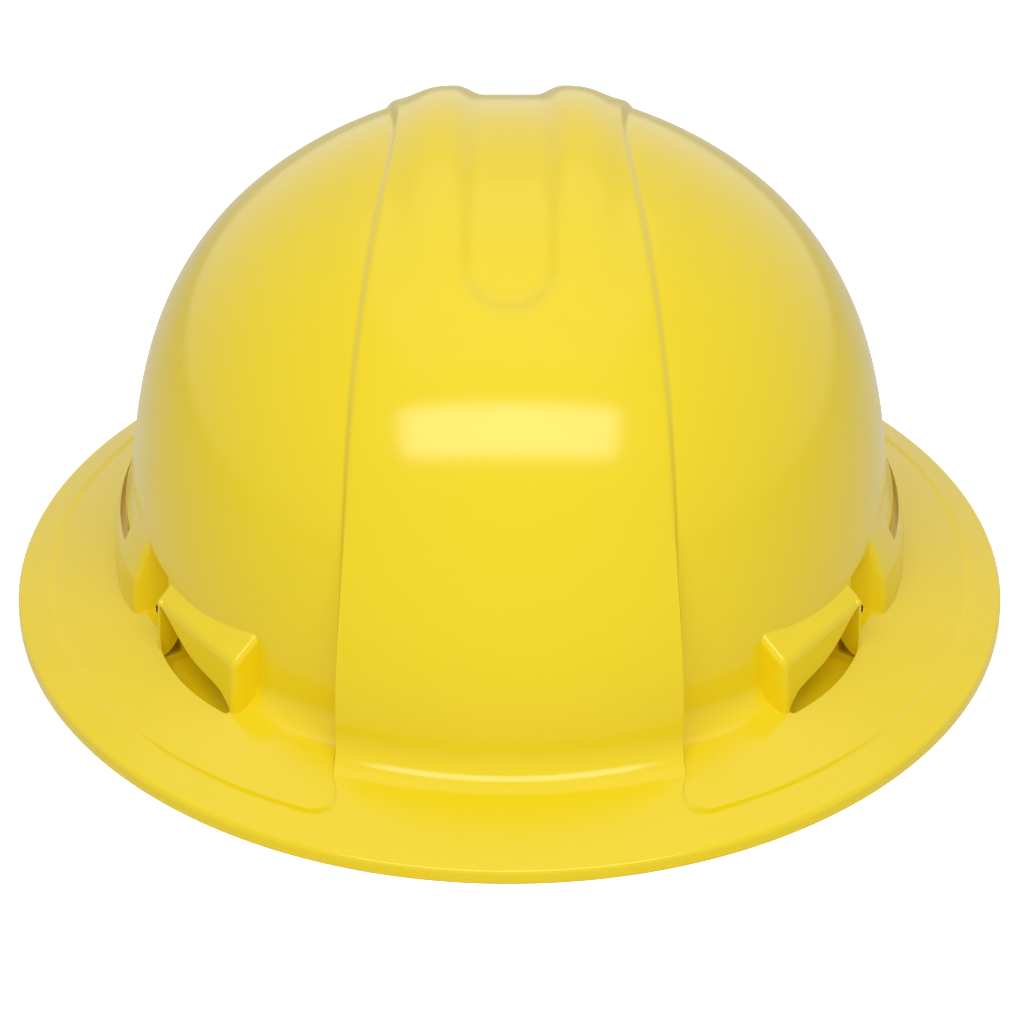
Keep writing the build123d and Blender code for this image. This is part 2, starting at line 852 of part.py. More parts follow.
# The left rack runs inside the right one and both pass the pinion in the middle of the back
finish(rack(inner_strip, True), "left_rack")
finish(mirrored(rack(outer_strip, False)), "right_rack")

# Ratchet base, the inner wall of the housing
screw_heights = (housing_floor + screw_inset, housing_top - screw_inset)
base_inner = channel_inner - housing_wall
with BuildPart() as ratchet_base:
    with BuildSketch(Plane.XY.offset(housing_floor)):
        add(round_strip(base_inner, channel_inner, -housing_half, housing_half))
    extrude(amount=housing_top - housing_floor)
    corners = ratchet_base.edges().filter_by(lambda rim: abs(rim.length - housing_wall) < layer_gap / 2)
    fillet(corners, housing_corner)
    with Locations(radial_plane(0, base_inner - overrun, knob_height)):
        Cylinder(
            pinion_journal + journal_clearance,
            housing_wall + 2 * overrun,
            align=(Align.CENTER, Align.CENTER, Align.MIN),
            mode=Mode.SUBTRACT,
        )
    for angle in (-screw_place, screw_place):
        for height in screw_heights:
            with Locations(radial_plane(angle, base_inner + housing_wall / 2, height)):
                Cylinder(
                    screw_radius,
                    housing_wall,
                    align=(Align.CENTER, Align.CENTER, Align.MIN),
                    mode=Mode.SUBTRACT,
                )
finish(ratchet_base, "ratchet_base")

# Ratchet cover: a channel over the racks, with a turret for the knob and pegs for the hangers
channel_floor = strip_floor - running_gap
channel_top = strip_top + running_gap
with BuildPart() as ratchet_cover:
    with BuildSketch(Plane.XY.offset(housing_floor)):
        add(round_strip(channel_inner, housing_outer, -housing_half, housing_half))
    extrude(amount=housing_top - housing_floor)
    corners = ratchet_cover.edges().filter_by(
        lambda rim: abs(rim.length - (housing_outer - channel_inner)) < layer_gap / 2
    )
    fillet(corners, housing_corner)
    with BuildSketch(Plane.XY.offset(channel_floor)):
        add(round_strip(channel_inner - overrun, channel_outer, -housing_half - overrun, housing_half + overrun))
    extrude(amount=channel_top - channel_floor, mode=Mode.SUBTRACT)
    turret_root = housing_outer - housing_wall / 2
    with Locations(radial_plane(0, turret_root, knob_height)):
        Cylinder(
            turret_radius,
            housing_outer + turret_reach - turret_root,
            align=(Align.CENTER, Align.CENTER, Align.MIN),
        )
    with Locations(radial_plane(0, housing_outer + turret_reach, knob_height)):
        Cylinder(
            detent_bore - cap_clearance,
            collar_reach,
            align=(Align.CENTER, Align.CENTER, Align.MIN),
        )
    with Locations(radial_plane(0, channel_outer - overrun, knob_height)):
        Cylinder(
            pinion_hub + journal_clearance,
            housing_wall + turret_reach + collar_reach + 2 * overrun,
            align=(Align.CENTER, Align.CENTER, Align.MIN),
            mode=Mode.SUBTRACT,
        )
    for angle in (-hanger_peg_place, hanger_peg_place):
        with Locations(radial_plane(angle, channel_outer + housing_wall / 2, knob_height)):
            Cylinder(
                hanger_peg_radius,
                housing_wall / 2 + hanger_peg_reach,
                align=(Align.CENTER, Align.CENTER, Align.MIN),
            )
    for angle in (-screw_place, screw_place):
        for height in screw_heights:
            with Locations(radial_plane(angle, channel_inner - overrun, height)):
                Cylinder(
                    screw_radius,
                    housing_outer - channel_inner + overrun * 2,
                    align=(Align.CENTER, Align.CENTER, Align.MIN),
                    mode=Mode.SUBTRACT,
                )
            with Locations(radial_plane(angle, housing_outer - screw_head_height, height)):
                Cylinder(
                    screw_head_radius,
                    screw_head_height + overrun,
                    align=(Align.CENTER, Align.CENTER, Align.MIN),
                    mode=Mode.SUBTRACT,
                )
finish(ratchet_cover, "ratchet_cover")

# Four housing screws from the cover into the base
with BuildPart() as housing_screws:
    for angle in (-screw_place, screw_place):
        for height in screw_heights:
            with Locations(radial_plane(angle, base_inner + housing_wall / 2, height)):
                Cylinder(
                    screw_radius,
                    housing_outer - screw_head_height - base_inner - housing_wall / 2,
                    align=(Align.CENTER, Align.CENTER, Align.MIN),
                )
            head_plane = radial_plane(angle, housing_outer - screw_head_height, height)
            with Locations(head_plane):
                Cylinder(
                    screw_head_radius,
                    screw_head_height,
                    align=(Align.CENTER, Align.CENTER, Align.MIN),
                )
            with Locations(head_plane.offset(screw_head_height - screw_slot_depth)):
                Box(
                    screw_head_radius * 2,
                    screw_slot,
                    screw_slot_depth,
                    align=(Align.CENTER, Align.CENTER, Align.MIN),
                    mode=Mode.SUBTRACT,
                )
finish(housing_screws, "housing_screws")

# Pinion: eight teeth between the racks, a journal in the base, a hub in the cover, a square for the knob
pinion_start = channel_inner + running_gap / 2
pinion_width = channel_outer - channel_inner - running_gap
pinion_root = pinion_radius - rack_dedendum_share * tooth_module
pinion_tip = pinion_radius + rack_addendum_share * tooth_module
square_reach = knob_gap + knob_cavity_depth + square_grip
pinion_half = tooth_pitch * tooth_width_share / 2
pinion_tip_half = pinion_half * pinion_tip_share
with BuildSketch(Plane.XY) as pinion_tooth:
    with BuildLine():
        Polyline(
            (0, -pinion_half),
            (pinion_radius, -pinion_half),
            (pinion_tip, -pinion_tip_half),
            (pinion_tip, pinion_tip_half),
            (pinion_radius, pinion_half),
            (0, pinion_half),
            close=True,
        )
    make_face()
with BuildPart() as pinion:
    with BuildSketch(radial_plane(0, pinion_start, knob_height)):
        Circle(pinion_root)
        with PolarLocations(0, pinion_teeth, start_angle=90 + 180 / pinion_teeth):
            add(pinion_tooth.sketch)
    extrude(amount=pinion_width)
    with Locations(radial_plane(0, base_inner, knob_height)):
        Cylinder(
            pinion_journal,
            pinion_start - base_inner,
            align=(Align.CENTER, Align.CENTER, Align.MIN),
        )
    hub_end = housing_outer + turret_reach
    with Locations(radial_plane(0, pinion_start + pinion_width, knob_height)):
        Cylinder(
            pinion_hub,
            hub_end - pinion_start - pinion_width,
            align=(Align.CENTER, Align.CENTER, Align.MIN),
        )
    with BuildSketch(radial_plane(0, hub_end, knob_height)):
        Rectangle(pinion_square, pinion_square)
    extrude(amount=square_reach)
    with Locations(radial_plane(0, hub_end + square_reach, knob_height)):
        Cylinder(
            knob_screw_radius,
            knob_screw_bore,
            align=(Align.CENTER, Align.CENTER, Align.MAX),
            mode=Mode.SUBTRACT,
        )
finish(pinion, "pinion")

# Knob with scalloped grip, detent teeth in its cavity and a seat for its screw and cap
with BuildPart() as knob:
    with BuildSketch(radial_plane(0, knob_start, knob_height)):
        Circle(knob_radius)
    extrude(amount=knob_depth)
    fillet(knob.edges().filter_by(GeomType.CIRCLE).sort_by(Axis.Y)[-1], knob_rounding)
    with BuildSketch(radial_plane(0, knob_start, knob_height)):
        with PolarLocations(knob_radius * scallop_share, knob_scallops):
            Circle(scallop_radius)
    extrude(amount=knob_depth, mode=Mode.SUBTRACT)
    with BuildSketch(radial_plane(0, knob_start, knob_height)):
        Circle(knob_cavity)
        with PolarLocations(knob_cavity, detent_teeth):
            Rectangle(2 * detent_tooth_depth, detent_tooth_depth, rotation=45, mode=Mode.SUBTRACT)
    extrude(amount=knob_cavity_depth, mode=Mode.SUBTRACT)
    with BuildSketch(radial_plane(0, knob_start, knob_height)):
        Rectangle(pinion_square + 2 * cap_clearance, pinion_square + 2 * cap_clearance)
    extrude(amount=knob_cavity_depth + square_grip + cap_clearance, mode=Mode.SUBTRACT)
    with Locations(radial_plane(0, knob_start + knob_depth, knob_height)):
        Cylinder(
            cap_radius + cap_clearance,
            cap_depth,
            align=(Align.CENTER, Align.CENTER, Align.MAX),
            mode=Mode.SUBTRACT,
        )
        Cylinder(
            knob_screw_head + cap_clearance,
            cap_depth + knob_screw_head_height + cap_clearance,
            align=(Align.CENTER, Align.CENTER, Align.MAX),
            mode=Mode.SUBTRACT,
        )
        Cylinder(
            knob_screw_radius + cap_clearance,
            knob_depth,
            align=(Align.CENTER, Align.CENTER, Align.MAX),
            mode=Mode.SUBTRACT,
        )
finish(knob, "knob")

# Detent spring round the cover's collar, with curved arms that end in a tip under the knob's teeth
spring_start = housing_outer + turret_reach
tip_reach = knob_cavity - detent_tooth_depth - detent_clearance
tip_centre = tip_reach - detent_arm
with BuildSketch(Plane.XY) as detent_plan:
    with BuildLine():
        outside = CenterArc((0, 0), tip_centre + detent_arm / 2, 0, detent_arm_sweep)
        inside = CenterArc((0, 0), tip_centre - detent_arm / 2, 0, detent_arm_sweep)
        Line(outside @ 0, inside @ 0)
        Line(outside @ 1, inside @ 1)
    make_face()
    with Locations((tip_centre / 2, detent_arm / 2)):
        Rectangle(tip_centre + detent_arm, detent_arm)
    with PolarLocations(tip_centre, 1, start_angle=detent_arm_sweep):
        Circle(detent_arm)
with BuildPart() as detent_spring:
    with BuildSketch(radial_plane(0, spring_start, knob_height)):
        Circle(detent_hub)
        with PolarLocations(0, detent_arms):
            add(detent_plan.sketch)
        Circle(detent_bore, mode=Mode.SUBTRACT)
    extrude(amount=detent_thickness)
finish(detent_spring, "detent_spring")

# Cap over the knob's screw
with BuildPart() as knob_cap:
    with Locations(radial_plane(0, knob_start + knob_depth - cap_depth, knob_height)):
        Cylinder(cap_radius, cap_depth, align=(Align.CENTER, Align.CENTER, Align.MIN))
    rim = knob_cap.edges().filter_by(GeomType.CIRCLE).sort_by(Axis.Y)[-1]
    fillet(rim, cap_depth / 4)
finish(knob_cap, "knob_cap")

# Screw that holds the knob on the pinion
screw_seat = knob_start + knob_depth - cap_depth - knob_screw_head_height - cap_clearance
shank_end = housing_outer + turret_reach + square_reach - knob_screw_bore
with BuildPart() as knob_screw:
    with Locations(radial_plane(0, screw_seat, knob_height)):
        Cylinder(
            knob_screw_head,
            knob_screw_head_height,
            align=(Align.CENTER, Align.CENTER, Align.MIN),
        )
        Cylinder(
            knob_screw_radius,
            screw_seat - shank_end,
            align=(Align.CENTER, Align.CENTER, Align.MAX),
        )
    with Locations(radial_plane(0, screw_seat + knob_screw_head_height, knob_height)):
        Box(
            knob_screw_head * 2,
            knob_screw_slot,
            knob_screw_slot_depth,
            align=(Align.CENTER, Align.CENTER, Align.MAX),
            mode=Mode.SUBTRACT,
        )
finish(knob_screw, "knob_screw")

# Rear hanger on the +X side: a strip with height holes over the cover's peg and a post for the key
hanger_inner = housing_outer + seat_gap
hanger_outer = hanger_inner + hanger_thickness
post_middle = post_inner + post_thickness / 2
post_across = post_middle * sin(radians(strap_turn))
post_behind = post_middle * cos(radians(strap_turn)) - band_centre
post_angle = degrees(atan2(post_across, post_behind))
with BuildPart() as rear_hanger:
    with BuildSketch(Plane.XY.offset(hanger_floor)):
        add(round_strip(hanger_inner, hanger_outer, -hanger_end, -hanger_start))
    extrude(amount=hanger_top - hanger_floor)
    with BuildSketch(level(180 - strap_turn, post_floor)):
        with Locations((post_middle, 0)):
            Rectangle(post_thickness, post_width)
    extrude(amount=hanger_top - post_floor)
    for step in (-1, 0, 1):
        hole_height = knob_height + step * hanger_hole_pitch
        with Locations(radial_plane(-hanger_peg_place, hanger_inner - overrun, hole_height)):
            Cylinder(
                hanger_peg_radius + hanger_hole_clearance,
                hanger_thickness + 2 * overrun,
                align=(Align.CENTER, Align.CENTER, Align.MIN),
                mode=Mode.SUBTRACT,
            )
finish(rear_hanger, "left_rear_hanger")
finish(mirrored(rear_hanger), "right_rear_hanger")

# Brow pad inside the front half of the headband
half_front_inner = front_band_middle - half_front - pad_gap
front_reach_inner = band_front_reach - half_front - pad_gap
with BuildPart() as brow_pad:
    with BuildSketch(Plane.XY.offset(brow_pad_floor)):
        add(
            strip_face(
                half_front_inner - brow_pad_thickness,
                half_front_inner,
                front_reach_inner - brow_pad_thickness,
                front_reach_inner,
                180 + brow_pad_start,
                360 - brow_pad_start,
            )
        )
    extrude(amount=brow_pad_top - brow_pad_floor)
    fillet(brow_pad.edges(), brow_pad_rounding)
finish(brow_pad, "brow_pad")

# Nape pad inside the ratchet base
nape_outer = base_inner - pad_gap
with BuildPart() as nape_pad:
    with BuildSketch(Plane.XY.offset(nape_pad_floor)):
        add(round_strip(nape_outer - nape_pad_thickness, nape_outer, -nape_pad_half, nape_pad_half))
    extrude(amount=nape_pad_top - nape_pad_floor)
    fillet(nape_pad.edges(), nape_pad_rounding)
finish(nape_pad, "nape_pad")
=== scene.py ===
import bpy
import math
import numpy as np
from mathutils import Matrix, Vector


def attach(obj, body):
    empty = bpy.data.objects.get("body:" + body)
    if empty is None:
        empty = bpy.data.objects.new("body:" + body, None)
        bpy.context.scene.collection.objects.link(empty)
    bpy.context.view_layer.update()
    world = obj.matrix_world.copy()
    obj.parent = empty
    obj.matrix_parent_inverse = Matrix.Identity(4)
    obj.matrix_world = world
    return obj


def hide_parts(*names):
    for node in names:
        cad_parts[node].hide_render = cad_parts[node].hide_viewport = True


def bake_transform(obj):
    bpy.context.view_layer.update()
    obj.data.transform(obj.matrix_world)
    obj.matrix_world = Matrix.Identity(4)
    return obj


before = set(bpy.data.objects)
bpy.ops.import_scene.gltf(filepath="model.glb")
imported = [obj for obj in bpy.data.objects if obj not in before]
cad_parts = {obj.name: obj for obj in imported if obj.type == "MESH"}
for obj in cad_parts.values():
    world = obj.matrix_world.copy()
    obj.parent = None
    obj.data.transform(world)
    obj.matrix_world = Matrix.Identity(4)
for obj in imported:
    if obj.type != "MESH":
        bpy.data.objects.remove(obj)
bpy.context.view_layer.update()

# Lengths are in millimetres here and become metres when a mesh is made
MM = 0.001

# The shell's outline: sizes of the solid model, but a prouder foot to the band and a finer step on the brim
WIDTH_SHARE = 285.0 / 330.0
RIM_RADIUS = 165.0
FOOT_RADIUS = 126.0
BRIM_SLOPE = math.radians(14.0)
RIM_HEIGHT = 3.4
RIM_ROUNDING = 1.4
RIM_LIP = 3.2
CROWN = 137.3
CROWN_RADIUS = 151.0
CROWN_ANGLE = math.radians(36.0)
SHOULDER_ANGLE = math.radians(75.5)
FOOT_ROUNDING = 7.0
WALL = 2.4
RING_START = 149.0
BORDER_RADIUS = 154.0
BAND_PROUD = 1.4
FOOT_PROUD = 7.2
BAND_FOOT_ROUNDING = 8.0
BRIM_STEP = 0.5
BAND_CROWN = 31.0 / WIDTH_SHARE
BAND_FOOT = 43.0 / WIDTH_SHARE
BAND_STRAIGHT = 118.0
PANEL_CORNER = 9.0
STEP_WIDTH = 2.2
BOSS_TURN = math.radians(54.9)

# The corners: ends of the boss along t, inner side and floor of the recess, floor of the pocket
BOSS_REAR = -4.7
BOSS_FRONT = -45.2
BOSS_EDGE = 1.9
RECESS_INNER = 110.6
RECESS_FRONT = -43.0
RECESS_FLOOR = 6.8
POCKET_FLOOR = 13.6
HOOD_EDGE = 1.1

# The crown straps: outward and rearward place of a key's tongue, sizes of the webbing and of its stitches
KEY_OUT = 106.15
KEY_BACK = 20.5
STRAP_SPRING = 34.0
STRAP_REACH = 94.9
STRAP_STEP = 0.5
STITCH_HALF_LENGTH = 0.75
STITCH_HALF_WIDTH = 0.2
STITCH_HALF_DEPTH = 0.3

# The cushions: how much slimmer they start, how far the cloth may move, and the grid of the cloth
PAD_SLIMMING = 0.9
PAD_SWELLING = 1.3
PAD_GRID = 1.3
PAD_FRAMES = 20

# The photograph's camera: tilt, distance and aimed height in metres, lens and centre in pixels of 1024
CAMERA_TILT = math.radians(26.13)
CAMERA_AWAY = 0.79364
CAMERA_HEIGHT = 0.03776
CAMERA_LENS = 2741.0
CAMERA_CENTRE = (509.5, 444.09)
PICTURE = 1024.0


def smooth(low, high, value):
    """Smooth step from 0 at low to 1 at high."""
    share = np.clip((value - low) / (high - low), 0.0, 1.0)
    return share * share * (3.0 - 2.0 * share)


def soft_max(a, b, width):
    """The larger of two heights, with their crossing rounded over a width."""
    share = np.clip(0.5 + 0.5 * (a - b) / width, 0.0, 1.0)
    return b + (a - b) * share + width * share * (1.0 - share)


def soft_min(a, b, width):
    """The smaller of two heights, with their crossing rounded over a width."""
    return -soft_max(-a, -b, width)


def blurred(values, sigma, step):
    """Values along a curve, smoothed over a length."""
    reach = int(4 * sigma / step)
    kernel = np.exp(-0.5 * (np.arange(-reach, reach + 1) * step / sigma) ** 2)
    kernel /= kernel.sum()
    before = 2 * values[0] - values[reach:0:-1]
    after = 2 * values[-1] - values[-2:-reach - 2:-1]
    padded = np.concatenate([before, values, after])
    return np.convolve(padded, kernel, mode="valid")


def hat_profile(inset, flatten):
    """Half outline from the crown's top to the rim: arc length, radius, height and outward normal."""
    foot = FOOT_RADIUS - inset
    crown_radius = CROWN_RADIUS - inset
    fillet = FOOT_ROUNDING + inset
    lean = math.sin(BRIM_SLOPE)
    rise = math.cos(BRIM_SLOPE)
    bend = foot + fillet * (1 - lean)
    bend_height = RIM_HEIGHT - inset / rise + (RIM_RADIUS - bend) * math.tan(BRIM_SLOPE)
    wall_start = bend_height + fillet * rise
    s1, c1 = math.sin(CROWN_ANGLE), math.cos(CROWN_ANGLE)
    s2, c2 = math.sin(SHOULDER_ANGLE), math.cos(SHOULDER_ANGLE)
    reach = foot - crown_radius * s1
    drop = CROWN - inset - crown_radius * (1 - c1) - wall_start
    whole = (s2 - s1) * c2 - (1 - s2) * (c1 - c2)
    shoulder = (reach * c2 - (1 - s2) * drop) / whole
    side = ((s2 - s1) * drop - (c1 - c2) * reach) / whole
    step = 0.25
    pieces = [
        (crown_radius * CROWN_ANGLE, 0.0, CROWN_ANGLE),
        (shoulder * (SHOULDER_ANGLE - CROWN_ANGLE), CROWN_ANGLE, SHOULDER_ANGLE),
        (side * (math.pi / 2 - SHOULDER_ANGLE), SHOULDER_ANGLE, math.pi / 2),
        (fillet * (math.pi / 2 - BRIM_SLOPE), math.pi / 2, BRIM_SLOPE),
        ((RIM_RADIUS - bend) / rise, BRIM_SLOPE, BRIM_SLOPE),
    ]
    ends = np.cumsum([0.0] + [piece[0] for piece in pieces])
    length = np.arange(0.0, ends[-1], step)
    angle = np.interp(length, np.repeat(ends, 2)[1:-1], np.array([a for p in pieces for a in p[1:]]))
    fillet_start = ends[3]
    wide = blurred(angle, flatten, step)
    narrow = blurred(angle, 1.2, step)
    share = smooth(fillet_start - 32.0, fillet_start - 12.0, length)
    angle = wide * (1 - share) + narrow * share
    radius = np.concatenate([[0.0], np.cumsum(np.cos(angle[:-1]) * step)])
    height = CROWN - inset - np.concatenate([[0.0], np.cumsum(np.sin(angle[:-1]) * step)])
    # Spread the small error of the smoothing over the whole dome
    radius += (RIM_RADIUS - radius[-1]) * smooth(20.0, fillet_start, length)
    height += (RIM_HEIGHT - inset / rise - height[-1]) * smooth(20.0, fillet_start, length)
    return length, radius, height, np.sin(angle), np.cos(angle)


def band_edge(y):
    """Half width of the raised band at a station, in the round hat."""
    station = np.sqrt(y * y + 100.0) - 10.0
    return BAND_CROWN + (BAND_FOOT - BAND_CROWN) * soft_min(station / BAND_STRAIGHT, 1.0 + 0.0 * y, 0.12)


def panel_depth(x, y):
    """Signed distance into the side panels, in the plan of the round hat."""
    inside = np.abs(x) - band_edge(y)
    border = BORDER_RADIUS - np.hypot(x, y)
    beyond = np.hypot(np.minimum(inside - PANEL_CORNER, 0.0), np.minimum(border - PANEL_CORNER, 0.0))
    in_corner = (inside < PANEL_CORNER) & (border < PANEL_CORNER)
    return np.where(in_corner, PANEL_CORNER - beyond, np.minimum(inside, border))


def crown_relief(x, y, z):
    """Height of the crown with its two ridges and the groove between them."""
    across = np.abs(x) * WIDTH_SHARE
    section = np.interp(across, [0.0, 17.8, 21.0, 23.6, 25.6, 27.6, 31.0, 45.0, 90.0],
                        [138.7, 138.7, 138.45, 137.85, 137.1, 136.2, 134.2, 120.0, 0.0])
    ridge_centre = 138.7 - 140.0
    ridge = ridge_centre + np.sqrt(np.maximum((section - ridge_centre) ** 2 - y * y, 1.0))
    raised = soft_max(z, ridge, 0.9)
    groove_radius = CROWN_RADIUS - 1.9
    groove_centre = CROWN - CROWN_RADIUS
    end = groove_radius * math.sin(math.radians(26.5))
    away = np.hypot(across, np.maximum(np.abs(y) - end, 0.0))
    floor = groove_centre + np.sqrt(np.maximum(groove_radius ** 2 - y * y, 1.0))
    groove = floor + np.maximum(away - 8.2, 0.0) * 0.52
    groove = soft_max(floor, groove, 1.2) - 0.25
    return np.where(z > 100.0, soft_min(raised, groove, 1.1), z)


def banded_profile(profile):
    """The profile on the band: proud of the dome, and more so towards the foot, at the same arc lengths."""
    length, radius, height, out_share, up_share = profile
    lean, rise = math.sin(BRIM_SLOPE), math.cos(BRIM_SLOPE)
    bend = FOOT_RADIUS + FOOT_ROUNDING * (1 - lean)
    bend_reach = float(np.interp(bend, radius, length))
    wall_reach = bend_reach - FOOT_ROUNDING * (math.pi / 2 - BRIM_SLOPE)
    wall_end = float(np.interp(wall_reach, length, height))
    foot = float(np.interp(wall_reach, length, radius)) + BAND_PROUD + FOOT_PROUD
    new_bend = foot + BAND_FOOT_ROUNDING * (1 - lean)
    level = RIM_HEIGHT + BRIM_STEP / rise
    centre_z = level + (RIM_RADIUS - new_bend) * math.tan(BRIM_SLOPE) + BAND_FOOT_ROUNDING * rise
    low = smooth(80.0, wall_end + 4.0, height)
    wall_r = radius + BAND_PROUD * out_share + FOOT_PROUD * low
    wall_z = height + BAND_PROUD * up_share * (1.0 - low) + (centre_z - wall_end) * low
    angle = np.interp(length, [wall_reach, bend_reach], [math.pi / 2, BRIM_SLOPE])
    round_r = foot + BAND_FOOT_ROUNDING * (1.0 - np.sin(angle))
    round_z = centre_z - BAND_FOOT_ROUNDING * np.cos(angle)
    brim_reach = float(np.interp(RING_START, radius, length))
    brim_r = np.interp(length, [bend_reach, brim_reach, length[-1]], [new_bend, RING_START, radius[-1]])
    brim_z = level + (RIM_RADIUS - brim_r) * math.tan(BRIM_SLOPE)
    r = np.where(length <= wall_reach, wall_r, np.where(length <= bend_reach, round_r, brim_r))
    z = np.where(length <= wall_reach, wall_z, np.where(length <= bend_reach, round_z, brim_z))
    return blurred(r, 0.9, length[1]), blurred(z, 0.9, length[1])


def shell_points(profile, reach, turn):
    """Points of the shell's outside at an arc length from the crown and a turn from the front."""
    length, radius, height = profile[:3]
    band_radius, band_height = banded_profile(profile)
    r = np.interp(reach, length, radius)
    z = np.interp(reach, length, height)
    x = r * np.sin(turn)
    y = -r * np.cos(turn)
    width = STEP_WIDTH * (1.0 + 0.5 * smooth(60.0, 100.0, z))
    share = 1.0 - smooth(-0.5, 0.5, panel_depth(x, y) / width)
    r = r + share * (np.interp(reach, length, band_radius) - r)
    z = z + share * (np.interp(reach, length, band_height) - z)
    x = r * np.sin(turn)
    y = -r * np.cos(turn)
    z = crown_relief(x, y, z)
    return np.stack([x * WIDTH_SHARE, y, z], axis=-1)


def spaced(cost, count):
    """Shares from 0 to 1 that are closer together where the cost is higher."""
    total = np.concatenate([[0.0], np.cumsum((cost[1:] + cost[:-1]) / 2)])
    return np.interp(np.linspace(0, total[-1], count + 1), total, np.linspace(0, 1, len(cost)))


